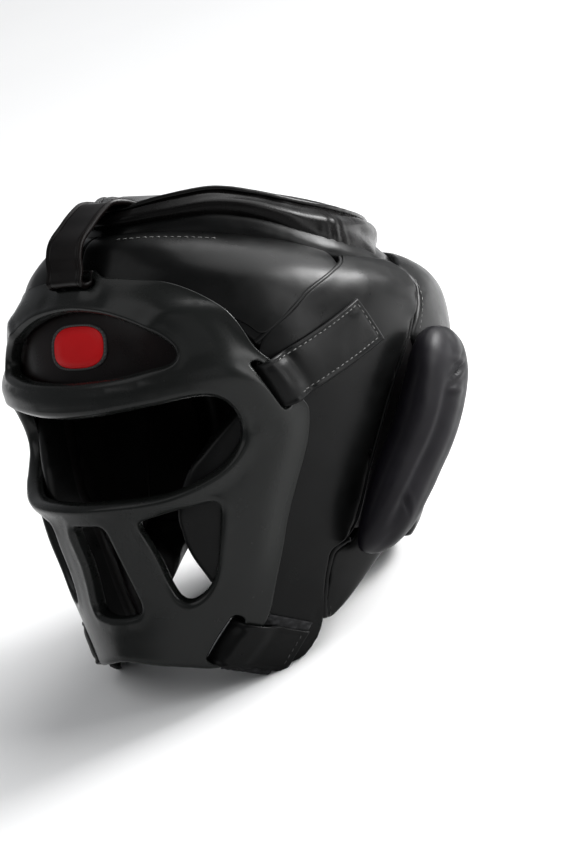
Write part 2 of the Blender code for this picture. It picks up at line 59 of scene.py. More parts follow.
GRILL = np.array([
    (-2, 74, 84, 60, 1.6, 2.2), (5, 78, 87, 60, 1.6, 2.2), (20, 84.5, 90, 70, 1.7, 2.2), (40, 92, 94, 80, 1.9, 2.2),
    (60, 97, 102.5, 90, 1.95, 2.2), (80, 101, 114, 100, 2.0, 2.2), (100, 105, 122.5, 110, 2.0, 2.2),
    (120, 108, 124, 110, 2.1, 2.2), (140, 111.5, 126.5, 110, 2.2, 2.2), (160, 115, 128.5, 110, 2.4, 2.2),
    (180, 116, 129, 110, 2.5, 2.2), (200, 113.5, 129.5, 110, 2.5, 2.2), (220, 107, 129, 110, 2.4, 2.2),
    (235, 92, 126, 110, 2.3, 2.2), (246, 76, 119, 110, 2.2, 2.2),
], float)
WINDOW_HALF = [(0, 202), (10, 200), (17, 196), (23, 191), (28.5, 185), (31.3, 179.5), (32, 176), (30.6, 172),
               (25, 169), (19, 166), (11, 164), (0, 163)]
EYE_HALF = [(0, 143), (10, 144), (20, 147), (28, 150), (34, 153), (40, 154), (44, 150), (47, 142), (48, 134),
            (46, 125), (42, 116), (35, 107.5), (26.5, 101), (17, 98), (7, 96.5), (0, 96)]
MOUTH_HALF = [(0, 83), (5.5, 83), (6.8, 81), (8.5, 61), (12, 39), (11.2, 36.5), (5.5, 34.4), (0, 34)]
EDGE_HALF = [(0, 226), (7.4, 226), (8.6, 221.5), (19, 220), (29, 218), (37.5, 211), (44, 202), (48, 191),
             (51.5, 180), (58, 170), (64.5, 153), (67.2, 149), (68, 136), (67.5, 126), (65.5, 110), (63.2, 91),
             (62, 74), (59.5, 50), (58, 34), (53, 21), (45, 9), (37, 5.5), (27, 6), (14, 7), (0, 9)]
SIDE_OPENING = [(17.5, 85), (25.5, 90), (35, 95), (40.3, 97.3), (41.8, 95), (41.8, 87), (41.2, 75), (40.2, 63),
                (38.5, 54), (35, 46.5), (30, 42.3), (26.5, 44), (23.5, 53), (21, 67), (17.6, 82)]
TEMPLE_SLOT = [(49.2, 172.2), (51.9, 173.8), (61.6, 149.6), (58.9, 147)]
JAW_SLOT = [(45.2, 36), (49.6, 33.5), (38.8, 8.2), (33.8, 10.8)]
BROW_SLOT_HALF = [(0, 220.8), (7.4, 220.8), (7.4, 214.4), (0, 214.4)]
BROW_LINE = [(0, 153), (12, 154), (22, 157), (32, 161), (40, 165), (48, 165), (60, 160)]
LIP_LINE = [(0, 92.5), (9, 93), (19, 95), (28, 98.5), (36, 104), (43, 112.5), (48.5, 122), (51, 134)]
SIDE_PANEL = [(4, 55, 68), (15, 50, 77.5), (30, 45, 81), (50, 37.5, 80), (64, 31.5, 80.3), (72, 29.3, 81.5),
              (79, 28.4, 88), (90, 28, 92), (113, 32, 94), (125, 37, 95.5), (148, 47, 98.3), (166, 50.5, 101.5),
              (178, 51.5, 104.5), (189, 54, 107.7), (201, 61, 111), (213, 67.5, 115), (224, 77, 117.3),
              (231, 84.4, 116.5), (236.5, 88.2, 112.5)]
JAW_PANEL = [(33, 82.5, 86), (42, 81.8, 92.5), (52, 81.6, 99), (62, 81.8, 105), (70, 83, 110), (77, 90.5, 115),
             (85, 94, 117)]
BACK_PANEL = [(78, 143, 217), (86, 136, 224), (96, 126.5, 233.5), (120, 123, 237), (150, 121.5, 238.5),
              (172, 117, 243), (184, 111.5, 248.5), (192, 109.3, 250.7), (201, 112, 248), (213, 116, 244),
              (224, 118.4, 241.6), (233, 117, 243), (240, 127, 233), (245, 141, 219), (248, 158, 202)]
TOP_PANEL = [(0.25, 213.5, 247.5), (10, 213.5, 248.5), (20, 212.5, 249.5), (30, 209, 249.5), (40, 201, 249),
             (48, 194, 248.3), (53.5, 189, 247.5), (61, 203, 246.2), (67, 213.8, 244.8), (77, 225.3, 241.6),
             (83.6, 231.5, 239.3)]
FOREHEAD_PAD = [(-49.5, 167, 184), (-44, 162, 191.5), (-38, 159, 199), (-28, 155, 206), (-14, 151, 210),
                (0, 150, 211), (14, 151, 210), (28, 155, 206), (38, 159, 199), (44, 162, 191.5), (49.5, 167, 184)]
CROWN_EDGE = [(0, 251, 259), (20, 256, 267), (36, 260.5, 271.8), (51, 259.5, 270.5), (79, 253, 266), (124, 249, 263.5),
              (150, 249, 263), (180, 249.5, 262)]
CROWN_RINGS = [(0.95, 1.4), (0.84, 1.0), (0.58, 0.4), (0.3, 0.0)]
CROWN_ROLL = (77.0, 107.0, 98.0)
CROWN_PIPING = (66.0, 99.0, 93.0)
CROWN_CREST = 275.5
CROWN_POWER = 1.6
CROWN_TUCK = [(1.5, 2.6), (11.0, 4.4), (22.0, 7.5)]
EAR_PAD = [(98.5, 73, 5, 9), (99.3, 78, 15, 11.5), (101, 90, 21.5, 13), (103.5, 110, 24.5, 13.4),
           (106.3, 132, 25.5, 13.6), (109.3, 154, 25.5, 13.4), (112, 174, 24.5, 12.6), (113.6, 187, 19.5, 11.4),
           (114.5, 195, 10, 10)]
TEMPLE_STRAP = (((50.8, 171.2), (59.6, 150.2)), ((83.8, 210), (94, 188.5)))
JAW_STRAP = (((48.0, 34.0), (36.8, 10.4)), ((75.3, 27.3), (68.3, 4.9)))
PUFF = 3.0


def rest(p):
    """Head frame, mm, to the row frame, metres."""
    p = np.asarray(p, float)
    c, s = math.cos(PITCH), math.sin(PITCH)
    x, y, z = p[..., 0], p[..., 1], p[..., 2]
    return np.stack([x, y * c + z * s + SHIFT_Y, -y * s + z * c + LIFT], -1) / 1000


def turn(d):
    """A direction of the head frame in the row frame."""
    c, s = math.cos(PITCH), math.sin(PITCH)
    return Vector((d[0], d[1] * c + d[2] * s, -d[1] * s + d[2] * c))


def section(rows, v):
    n = len(rows)
    v = np.clip(np.asarray(v, float), 0, n - 1 - 1e-9)
    i = np.floor(v).astype(int)
    t = (v - i)[..., None]
    p0, p1, p2, p3 = (rows[np.clip(i + k, 0, n - 1)] for k in (-1, 0, 1, 2))
    return 0.5 * (2 * p1 + (p2 - p0) * t + (2 * p0 - 5 * p1 + 4 * p2 - p3) * t**2 + (3 * p1 - p0 - 3 * p2 + p3) * t**3)


def row_at(rows, height):
    v = np.linspace(0, len(rows) - 1, 2001)
    return np.interp(height, section(rows, v)[:, 0], v)


def raw_point(rows, angle, v):
    r = section(rows, v)
    s, c = np.abs(np.sin(angle)), np.cos(angle)
    depth = np.where(c >= 0, r[..., 2], r[..., 3])
    power = np.where(c >= 0, r[..., 4], r[..., 5])
    reach = ((s / r[..., 1]) ** power + (np.abs(c) / depth) ** power) ** (-1 / power)
    return np.stack([reach * np.sin(angle), -reach * np.cos(angle), r[..., 0]], -1)


def surface(rows, angle_deg, height):
    """Points and outward normals of a surface."""
    angle, height = np.broadcast_arrays(np.radians(angle_deg), np.asarray(height, float))
    v = row_at(rows, height)
    e, top = 1e-3, len(rows) - 1 - 1e-6
    across = raw_point(rows, angle + e, v) - raw_point(rows, angle - e, v)
    up = raw_point(rows, angle, np.minimum(v + e, top)) - raw_point(rows, angle, np.maximum(v - e, 0))
    normal = np.cross(across, up)
    normal /= np.linalg.norm(normal, axis=-1, keepdims=True)
    return raw_point(rows, angle, v), normal


def on_surface(rows, angle_deg, height, offset=0.0):
    p, n = surface(rows, angle_deg, height)
    return p + n * np.asarray(offset, float)[..., None]


# ---------------------------------------------------------------- small mathematics
def smooth(x):
    x = np.clip(x, 0, 1)
    return x * x * (3 - 2 * x)


def bump(x, width):
    """1 at x = 0, down to 0 at +-width."""
    return np.cos(np.pi / 2 * np.clip(np.abs(x) / width, 0, 1)) ** 2


def lattice(i, j, k, seed):
    h = (i * 374761393 + j * 668265263 + k * 1442695041 + seed * 974711 + 12345) & 0xFFFFFFFF
    h = ((h ^ (h >> 13)) * 1274126177) & 0xFFFFFFFF
    return ((h ^ (h >> 16)) & 0xFFFF) / 32767.5 - 1


def noise(p, size, seed=0):
    """Smooth noise from -1 to 1 with lumps of the given size."""
    q = np.asarray(p, float) / size
    f = np.floor(q).astype(np.int64)
    t = q - f
    t = t * t * (3 - 2 * t)
    out = 0
    for a in (0, 1):
        for b in (0, 1):
            for c in (0, 1):
                w = (t[..., 0] if a else 1 - t[..., 0]) * (t[..., 1] if b else 1 - t[..., 1]) * (t[..., 2] if c else 1 - t[..., 2])
                out = out + w * lattice(f[..., 0] + a, f[..., 1] + b, f[..., 2] + c, seed)
    return out


def line_noise(x, size, seed=0):
    x = np.asarray(x, float)
    return noise(np.stack([x, x * 0, x * 0], -1), size, seed)


def roll(distance, radius):
    """How far a rounded rim has dropped at this distance from its edge."""
    radius = np.maximum(radius, 1e-6)
    return radius - np.sqrt(np.maximum(radius**2 - (radius - np.minimum(distance, radius)) ** 2, 0))


def table(rows, count, smoothly=True):
    rows = np.asarray(rows, float)
    at = np.linspace(0, len(rows) - 1, count)
    if smoothly:
        return section(rows, at)
    return np.stack([np.interp(at, np.arange(len(rows)), rows[:, k]) for k in range(rows.shape[1])], -1)


def curve(points, count, closed=False):
    """Evenly spaced points of a smooth line through these."""
    p = np.asarray(points, float)
    n = len(p)
    out = []
    for i in range(n if closed else n - 1):
        at = (lambda k: p[k % n]) if closed else (lambda k: p[min(max(k, 0), n - 1)])
        p0, p1, p2, p3 = at(i - 1), at(i), at(i + 1), at(i + 2)
        t = np.linspace(0, 1, 24, endpoint=False)[:, None]
        out.append(0.5 * (2 * p1 + (p2 - p0) * t + (2 * p0 - 5 * p1 + 4 * p2 - p3) * t**2 + (3 * p1 - p0 - 3 * p2 + p3) * t**3))
    out = np.concatenate(out + [p[:1] if closed else p[-1:]])
    length = np.concatenate([[0], np.cumsum(np.linalg.norm(np.diff(out, axis=0), axis=1))])
    at = np.linspace(0, length[-1], count, endpoint=not closed)
    return np.stack([np.interp(at, length, out[:, k]) for k in range(out.shape[1])], -1)


# ---------------------------------------------------------------- materials
def new_material(name):
    m = bpy.data.materials.new(name)
    m.use_nodes = True
    tree = m.node_tree
    return m, tree, tree.nodes["Principled BSDF"]


def node(tree, kind, **values):
    n = tree.nodes.new(kind)
    for key, value in values.items():
        if key in n.inputs:
            n.inputs[key].default_value = value
        else:
            setattr(n, key, value)
    return n


def ramp(tree, source, stops):
    r = tree.nodes.new("ShaderNodeValToRGB")
    e = r.color_ramp.elements
    while len(e) < len(stops):
        e.new(0.5)
    for el, (pos, colour) in zip(e, stops):
        el.position = pos
        el.color = (*colour, 1) if len(colour) == 3 else (colour[0],) * 3 + (1,)
    tree.links.new(source, r.inputs["Fac"])
    return r.outputs["Color"]


def grained(name, colour, rough, rough_vary=0.06, grain=0.0011, grain_height=0.00006, pores=0.0, sheen=0.0, coat=0.0,
            specular=0.4, cloud=0.03, tint=(1, 1, 1), wear=0.25):
    """Leather or moulded plastic: clouded colour, fine grain in the bump, and gloss that varies."""
    m, tree, shader = new_material(name)
    link = tree.links.new
    where = node(tree, "ShaderNodeTexCoord").outputs["Object"]
    large = node(tree, "ShaderNodeTexNoise", Scale=1 / cloud, Detail=4.0, Roughness=0.55)
    link(where, large.inputs["Vector"])
    dark = tuple(c * (1 - wear) for c in colour)
    light = tuple(c * t * (1 + wear) for c, t in zip(colour, tint))
    link(ramp(tree, large.outputs["Fac"], [(0.35, dark), (0.65, light)]), shader.inputs["Base Color"])
    fine = node(tree, "ShaderNodeTexVoronoi", Scale=1 / grain, feature="SMOOTH_F1")
    link(where, fine.inputs["Vector"])
    finer = node(tree, "ShaderNodeTexNoise", Scale=2.2 / grain, Detail=3.0)
    link(where, finer.inputs["Vector"])
    mix = node(tree, "ShaderNodeMath", operation="MULTIPLY_ADD")
    link(fine.outputs["Distance"], mix.inputs[0])
    mix.inputs[1].default_value = 0.7
    link(finer.outputs["Fac"], mix.inputs[2])
    height = node(tree, "ShaderNodeBump", Strength=0.35, Distance=grain_height)
    link(mix.outputs[0], height.inputs["Height"])
    link(height.outputs["Normal"], shader.inputs["Normal"])
    gloss = node(tree, "ShaderNodeTexNoise", Scale=2.5 / cloud, Detail=6.0, Roughness=0.6)
    link(where, gloss.inputs["Vector"])
    link(ramp(tree, gloss.outputs["Fac"], [(0.3, (rough - rough_vary,)), (0.7, (rough + rough_vary,))]),
         shader.inputs["Roughness"])
    shader.inputs["Specular IOR Level"].default_value = specular
    if sheen:
        shader.inputs["Sheen Weight"].default_value = sheen
        shader.inputs["Sheen Roughness"].default_value = 0.4
    if coat:
        shader.inputs["Coat Weight"].default_value = coat
        shader.inputs["Coat Roughness"].default_value = 0.2
    return m


def woven(name, colour, rough, thread=0.0006, height=0.00012, specular=0.3, sheen=0.0):
    """Webbing or hook-and-loop: crossed threads in colour and bump."""
    m, tree, shader = new_material(name)
    link = tree.links.new
    where = node(tree, "ShaderNodeTexCoord").outputs["Object"]
    waves = []
    for direction in ("X", "Z"):
        w = node(tree, "ShaderNodeTexWave", Scale=1 / thread / 20, Distortion=0.6, bands_direction=direction)
        link(where, w.inputs["Vector"])
        waves.append(w.outputs["Fac"])
    both = node(tree, "ShaderNodeMath", operation="MULTIPLY")
    link(waves[0], both.inputs[0])
    link(waves[1], both.inputs[1])
    link(ramp(tree, both.outputs[0], [(0.0, tuple(c * 0.6 for c in colour)), (1.0, tuple(c * 1.4 for c in colour))]),
         shader.inputs["Base Color"])
    b = node(tree, "ShaderNodeBump", Strength=0.6, Distance=height)
    link(both.outputs[0], b.inputs["Height"])
    link(b.outputs["Normal"], shader.inputs["Normal"])
    link(ramp(tree, both.outputs[0], [(0.0, (rough + 0.1,)), (1.0, (rough - 0.05,))]), shader.inputs["Roughness"])
    shader.inputs["Specular IOR Level"].default_value = specular
    if sheen:
        shader.inputs["Sheen Weight"].default_value = sheen
    return m


LEATHER = grained("black_leather", (0.0022, 0.0023, 0.0023), 0.32, specular=0.105)
SHINY = grained("glossy_leather", (0.0021, 0.0019, 0.0019), 0.25, specular=0.14)
CROWN_SKIN = grained("crown_leather", (0.0021, 0.0019, 0.0019), 0.27, specular=0.07)
EAR = grained("ear_leather", (0.0026, 0.0022, 0.0035), 0.41, specular=0.10)
PLASTIC = grained("grill_plastic", (0.0060, 0.0066, 0.0062), 0.26, rough_vary=0.03, grain=0.0007, grain_height=0.00003,
                  specular=0.18, cloud=0.05, wear=0.1)
LINING = grained("lining_leather", (0.0036, 0.0030, 0.0030), 0.40, specular=0.22)
SATIN = grained("window_satin", (0.0022, 0.0010, 0.0010), 0.30, specular=0.13, tint=(1.25, 0.9, 0.9), grain=0.0009)
WEB = grained("strap_satin", (0.0024, 0.0018, 0.0017), 0.32, specular=0.13, tint=(1.2, 0.95, 0.9), grain=0.0012)
HOOK = woven("hook_and_loop", (0.012, 0.012, 0.013), 0.75)
THREAD_LIGHT = woven("light_thread", (0.17, 0.17, 0.165), 0.6, thread=0.0003)
THREAD_DARK = woven("dark_thread", (0.035, 0.035, 0.035), 0.6, thread=0.0003)
BADGE_RED = grained("badge_red", (0.46, 0.004, 0.006), 0.42, rough_vary=0.03, specular=0.12, wear=0.06)


# ---------------------------------------------------------------- making pieces
PIECES = []


def piece(name, points, faces, material, slot, replaces=(), pad=None, soft=False, weld=0.0, sharp=False):
    p = rest(points)
    if soft:
        p[:, 2] = np.maximum(p[:, 2], 0.0001)
    mesh = bpy.data.meshes.new(name)
    mesh.from_pydata(p.tolist(), [], [list(map(int, f)) for f in faces])
    materials = material if isinstance(material, (list, tuple)) else [material]
    for m in materials:
        mesh.materials.append(m)
    b = bmesh.new()
    b.from_mesh(mesh)
    if weld:
        bmesh.ops.remove_doubles(b, verts=b.verts, dist=weld / 1000)
    bmesh.ops.recalc_face_normals(b, faces=b.faces)
    b.to_mesh(mesh)
    b.free()
    if not sharp:
        mesh.shade_smooth()
    obj = bpy.data.objects.new(name, mesh)
    bpy.context.scene.collection.objects.link(obj)
    PIECES.append((obj, slot, replaces, pad))
    return obj


def grid_faces(nu, nv, base=0, flip=False, around=False):
    i, j = np.meshgrid(np.arange(nu if around else nu - 1), np.arange(nv - 1), indexing="ij")
    i2 = (i + 1) % nu
    q = np.stack([base + i * nv + j, base + i2 * nv + j, base + i2 * nv + j + 1, base + i * nv + j + 1], -1).reshape(-1, 4)
    return (q[:, ::-1] if flip else q).tolist()


def rim_faces(nu, nv, base):
    """Walls between the rims of two grids, the second one starting at base."""
    loop = [i * nv for i in range(nu)] + [(nu - 1) * nv + j for j in range(1, nv)]
    loop += [i * nv + nv - 1 for i in range(nu - 2, -1, -1)] + [j for j in range(nv - 2, 0, -1)]
    return [(a, b, base + b, base + a) for a, b in zip(loop, loop[1:] + loop[:1])]


def knots(length, step, near=(0, 0.5, 1.3, 2.4, 3.8, 5.6, 7.8)):
    """Positions along an edge, closer together near both ends."""
    near = [d for d in near if d < length / 2 - 1]
    inner = np.linspace(near[-1], length - near[-1], max(3, int(round((length - 2 * near[-1]) / step)) + 1))[1:-1]
    return np.concatenate([near, inner, [length - d for d in reversed(near)]]) / length


def pad_grid(rows, by, step):
    """Angle and height grids of a pad's outer face."""
    rough = table(rows, 60)
    if by == "height":
        a, h = rough[:, 1:3], rough[:, [0, 0]]
    else:
        a, h = rough[:, [0, 0]], rough[:, 1:3]
    p = on_surface(BODY, a, h)
    across = np.linalg.norm(p[:, 1] - p[:, 0], axis=1).mean() * 1.02
    middle = p.mean(1)
    along = np.linalg.norm(np.diff(middle, axis=0), axis=1).sum()
    u, v = knots(across, step), knots(along, step)
    full = section(np.asarray(rows, float), v * (len(rows) - 1))
    if by == "height":
        angle = full[None, :, 1] + (full[None, :, 2] - full[None, :, 1]) * u[:, None]
        height = np.broadcast_to(full[None, :, 0], angle.shape)
    else:
        height = full[None, :, 1] + (full[None, :, 2] - full[None, :, 1]) * u[:, None]
        angle = np.broadcast_to(full[None, :, 0], height.shape)
    return angle, height, u, v


def edge_distances(p):
    du = np.linalg.norm(np.diff(p, axis=0), axis=2)
    dv = np.linalg.norm(np.diff(p, axis=1), axis=2)
    zu, zv = np.zeros((1, p.shape[1])), np.zeros((p.shape[0], 1))
    a = np.concatenate([zu, np.cumsum(du, 0)])
    c = np.concatenate([zv, np.cumsum(dv, 1)], 1)
    return a, a[-1:] - a, c, c[:, -1:] - c


def leather_pad(name, rows, by, thickness, edge_shape, step=2.6, puff=1.0, moves=None, material=None, inner=None,
                slot="black_leather", replaces=(), fill=0.7, lump=0.35, mirror=None, puckers=(), stuffing=None):
    """A padded panel: domed outer face with seams rolled in, walls and an inner face.

    edge_shape gives, for the edges u0, u1, v0, v1, how far the dome comes down (share of PUFF) and the edge's radius.
    """
    angle, height, u, v = pad_grid(rows, by, step)
    base, normal = surface(BODY, angle, height)
    edges = edge_distances(base)
    shapes = edge_shape(angle, height) if callable(edge_shape) else edge_shape
    span = (edges[0] + edges[1], edges[0] + edges[1], edges[2] + edges[3], edges[2] + edges[3])
    dome, drop = 1.0, 0
    for d, whole, (share, radius) in zip(edges, span, shapes):
        reach = np.minimum(whole / 2, 30.0)
        dome = dome * (1 - share * np.clip(1 - d / reach, 0, 1) ** 3)
        r = roll(d, radius)
        drop = np.maximum(drop, r) + 0.15 * np.minimum(drop, r)
    dome = puff * PUFF * (dome - 1)
    near = np.minimum(np.minimum(edges[0], edges[1]), np.minimum(edges[2], edges[3]))
    out = dome - drop + lump * noise(base, 26, 3) * smooth(near / 14) + 0.4 * lump * noise(base, 11, 4) * smooth(near / 8)
    for side, height_mm, reach, period, seed in puckers:
        d = edges[side]
        at = edges[2] if side < 2 else edges[0]
        ripple = line_noise(at, period, seed) + 0.5 * line_noise(at, period * 0.45, seed + 7)
        out = out + height_mm * ripple * np.exp(-d / reach) * smooth(d / 1.5)
    if moves is not None:
        out = out + moves(angle, height, base, edges)
    outer = base + normal * out[..., None]
    depth = thickness - roll(near, 6.0)
    if stuffing is not None:
        depth = depth + stuffing(angle, height, near)
    inner_face = base + normal * (dome * 0.3 - depth + 0.5 * noise(base, 18, 5) * smooth(near / 10))[..., None]
    nu, nv = angle.shape
    n = nu * nv
    made = []
    for sign, label in ((1, name),) + (((-1, mirror),) if mirror else ()):
        flip = np.array((sign, 1, 1))
        points = np.concatenate([outer.reshape(-1, 3), inner_face.reshape(-1, 3)]) * flip
        faces = grid_faces(nu, nv) + grid_faces(nu, nv, n, flip=True) + rim_faces(nu, nv, n)
        o = piece(label, points, faces, [material or LEATHER, inner or LINING], slot,
                  [label if not replaces else replaces[0]], fill, soft=True)
        count = (nu - 1) * (nv - 1)
        mats = np.zeros(len(o.data.polygons), np.int32)
        mats[count:2 * count] = 1
        o.data.polygons.foreach_set("material_index", mats)
        made.append(o)
    return made


def ring_tube(path, normals, radius, sides=10, closed=False, flatten=1.0):
    path = np.asarray(path, float)
    ahead = np.roll(path, -1, 0) - np.roll(path, 1, 0) if closed else np.gradient(path, axis=0)
    ahead /= np.linalg.norm(ahead, axis=1, keepdims=True)
    normals = normals - ahead * np.sum(normals * ahead, 1, keepdims=True)
    normals /= np.linalg.norm(normals, axis=1, keepdims=True)
    side = np.cross(ahead, normals)
    t = np.linspace(0, 2 * np.pi, sides, endpoint=False)
    r = np.broadcast_to(np.asarray(radius, float), (len(path),))
    return path[:, None] + r[:, None, None] * (np.cos(t)[None, :, None] * side[:, None]
                                               + flatten * np.sin(t)[None, :, None] * normals[:, None])


def tube(name, path, normals, radius, material, slot, closed=False, sides=10, flatten=1.0, mirror=None):
    rings = ring_tube(path, normals, radius, sides, closed, flatten)
    n, s = rings.shape[:2]
    faces = [(k * s + i, k * s + (i + 1) % s, ((k + 1) % n) * s + (i + 1) % s, ((k + 1) % n) * s + i)
             for k in range(n if closed else n - 1) for i in range(s)]
    if not closed:
        faces += [tuple(reversed(range(s))), tuple((n - 1) * s + i for i in range(s))]
    points = rings.reshape(-1, 3)
    if mirror == "join":
        faces = faces + [tuple(len(points) + i for i in reversed(f)) for f in faces]
        points = np.concatenate([points, points * (-1, 1, 1)])
    return piece(name, points, faces, material, slot)


STITCH_RING = np.array([(-0.5, 0.25, -0.35), (-0.36, 0.8, 0.3), (0.0, 1.0, 0.62), (0.36, 0.8, 0.3), (0.5, 0.25, -0.35)])


def stitches(name, lines, material=None, length=3.0, gap=1.3, radius=0.38, mirror=True, jitter=0.12):
    """Separate stitches along lines of (points, normals), all in one mesh."""
    points, faces = [], []
    sides = 6
    t = np.linspace(0, 2 * np.pi, sides, endpoint=False)
    count = 0
    for path, normals in lines:
        path, normals = np.asarray(path, float), np.asarray(normals, float)
        s = np.concatenate([[0], np.cumsum(np.linalg.norm(np.diff(path, axis=0), axis=1))])
        at = lambda x, a: np.stack([np.interp(x, s, a[:, k]) for k in range(3)], -1)
        for start in np.arange(0.3, s[-1] - length, length + gap):
            wob = jitter * float(lattice(np.int64(count), np.int64(3), np.int64(5), 8))
            a, b = at(start, path), at(start + length, path)
            n = at(start + length / 2, normals)
            ahead = b - a
            long = np.linalg.norm(ahead)
            ahead = ahead / long
            n = n - ahead * np.dot(n, ahead)
            n /= np.linalg.norm(n)
            side = np.cross(ahead, n)
            ahead = ahead + side * wob
            mid = (a + b) / 2
            base = len(points)
            for along, r, up in STITCH_RING:
                c = mid + ahead * long * along + n * radius * up
                for q in t:
                    points.append(c + radius * r * (np.cos(q) * side + np.sin(q) * n))
            for k in range(len(STITCH_RING) - 1):
                for i in range(sides):
                    faces.append((base + k * sides + i, base + k * sides + (i + 1) % sides,
                                  base + (k + 1) * sides + (i + 1) % sides, base + (k + 1) * sides + i))
            faces.append(tuple(base + i for i in reversed(range(sides))))
            faces.append(tuple(base + (len(STITCH_RING) - 1) * sides + i for i in range(sides)))
            count += 1
    points = np.array(points)
    if mirror:
        faces = faces + [tuple(len(points) + i for i in reversed(f)) for f in faces]
        points = np.concatenate([points, points * (-1, 1, 1)])
    return piece(name, points, faces, material or THREAD_LIGHT, "thread")


def line_on(rows, stations, offset, count=120):
    """A smooth line on a surface, through (angle, height) stations."""
    s = curve(stations, count)
    p, n = surface(rows, s[:, 0], s[:, 1])
    return p + n * np.asarray(offset, float)[..., None] if np.ndim(offset) else p + n * offset, n


# ---------------------------------------------------------------- face grill
GRILL_RADIUS = 115.0
GRILL_STEP = 3.4
EDGE_RINGS = (0.0, 0.35, 0.9, 1.7, 2.8, 4.4)
GRILL_THICKNESS = 4.6
LIP_DEPTH = 8.2
EDGE_ROUND = 3.0


def outline(half, spacing, mirror=True, tight_mm=12):
    pts = [(math.radians(a) * GRILL_RADIUS, h) for a, h in half]
    if mirror:
        pts = pts + [(-x, h) for x, h in reversed(pts[1:-1] if half[0][0] == half[-1][0] == 0 else pts)]
    pts = np.array(pts, float)
    n = len(pts)
    out = []
    for i in range(n):
        p0, p1, p2, p3 = (pts[(i + k) % n] for k in (-1, 0, 1, 2))
        length = np.linalg.norm(p2 - p1)
        for t in np.arange(0, 1 - 1e-6, 1 / max(1, round(length / spacing))):
            tight = min(1.0, length / tight_mm)
            soft = 0.5 * (2 * p1 + (p2 - p0) * t + (2 * p0 - 5 * p1 + 4 * p2 - p3) * t**2
                          + (3 * p1 - p0 - 3 * p2 + p3) * t**3)
            out.append(soft * tight + (p1 + (p2 - p1) * t) * (1 - tight))
    out = np.array(out)
    for _ in range(3):
        out = 0.25 * np.roll(out, 1, 0) + 0.5 * out + 0.25 * np.roll(out, -1, 0)
    return out


def inset(loop, distance, hole):
    x, y = loop[:, 0], loop[:, 1]
    area = 0.5 * np.sum(x * np.roll(y, -1) - y * np.roll(x, -1))
    sign = (1 if area > 0 else -1) * (-1 if hole else 1)
    fore, back = np.roll(loop, -1, 0) - loop, loop - np.roll(loop, 1, 0)
    unit = lambda d: d / np.maximum(np.linalg.norm(d, axis=1, keepdims=True), 1e-9)
    side = lambda d: np.stack([-d[:, 1], d[:, 0]], 1) * sign
    n = unit(side(unit(fore)) + side(unit(back)))
    cosine = np.clip(np.sum(n * side(unit(fore)), axis=1), 0.7, 1)
    return loop + n * (distance / cosine)[:, None]


def inside(points, loop):
    x, y = points[:, 0][:, None], points[:, 1][:, None]
    a, b = loop[None], np.roll(loop, -1, 0)[None]
    crossing = (a[..., 1] > y) != (b[..., 1] > y)
    with np.errstate(divide="ignore", invalid="ignore"):
        at = a[..., 0] + (y - a[..., 1]) / (b[..., 1] - a[..., 1]) * (b[..., 0] - a[..., 0])
    return np.count_nonzero(crossing & (x < at), axis=1) % 2 == 1


def distance(points, loop):
    a, b = loop[None], np.roll(loop, -1, 0)[None]
    d = b - a
    t = np.clip(np.sum((points[:, None] - a) * d, 2) / np.maximum(np.sum(d * d, 2), 1e-9), 0, 1)
    return np.linalg.norm(a + d * t[..., None] - points[:, None], axis=2).min(1)


LOOPS = {
    "edge": outline(EDGE_HALF, 2.6), "window": outline(WINDOW_HALF, 2.2), "eye": outline(EYE_HALF, 2.4),
    "mouth": outline(MOUTH_HALF, 2.0), "brow_slot": outline(BROW_SLOT_HALF, 2.0, tight_mm=60),
}
for label, whole, spacing in (("side", SIDE_OPENING, 2.2), ("temple_slot", TEMPLE_SLOT, 1.8), ("jaw_slot", JAW_SLOT, 1.8)):
    one = outline(whole, spacing, mirror=False, tight_mm=60 if "slot" in label else 12)
    LOOPS[label + "_left"] = one
    LOOPS[label + "_right"] = one[::-1] * (-1, 1)


def grill_relief(angle_deg, height, d):
    """Offsets of the grill's outer face: brow bar, rolled lips and beads, and the edge that settles on the leather."""
    a = np.abs(angle_deg)
    brow, lip = np.array(BROW_LINE), np.array(LIP_LINE)
    fade = np.clip((56 - a) / 14, 0, 1)
    out = 3.4 * bump(height - np.interp(a, brow[:, 0], brow[:, 1]), 14) * fade
    out = out + 2.6 * bump(height - np.interp(a, lip[:, 0], lip[:, 1]), 9) * fade
    out = out + 0.9 * bump(d["window"] - 2.6, 2.4)
    out = out + 0.9 * bump(d["eye"] - 3.0, 2.6) - 0.7 * bump(d["eye"] - 8.0, 3.0) * (height < 118)
    for s in ("side_left", "side_right", "mouth"):
        out = out + 0.5 * bump(d[s] - 3.4, 3.0)
    # shallow step under the brow slot
    out = out - 0.9 * smooth((24 - np.abs(np.radians(a) * GRILL_RADIUS)) / 3) * bump(height - 208.5, 6.5)
    # facet between the window's point and the temple, with a ridge round it
    x = np.radians(a) * GRILL_RADIUS
    out = out - 1.3 * bump(np.hypot((x - 76) / 1.3, (height - 186)), 16)
    ridge = np.hypot((x - 74) / 1.35, height - 184)
    out = out + 1.0 * bump(ridge - 19, 6) * smooth((height - 178) / 14)
    # the rear and top edges come down onto the padding
    settle = smooth((height - 30) / 50)
    out = out - 5.6 * (1 - smooth(d["edge"] / 20)) * settle
    return out


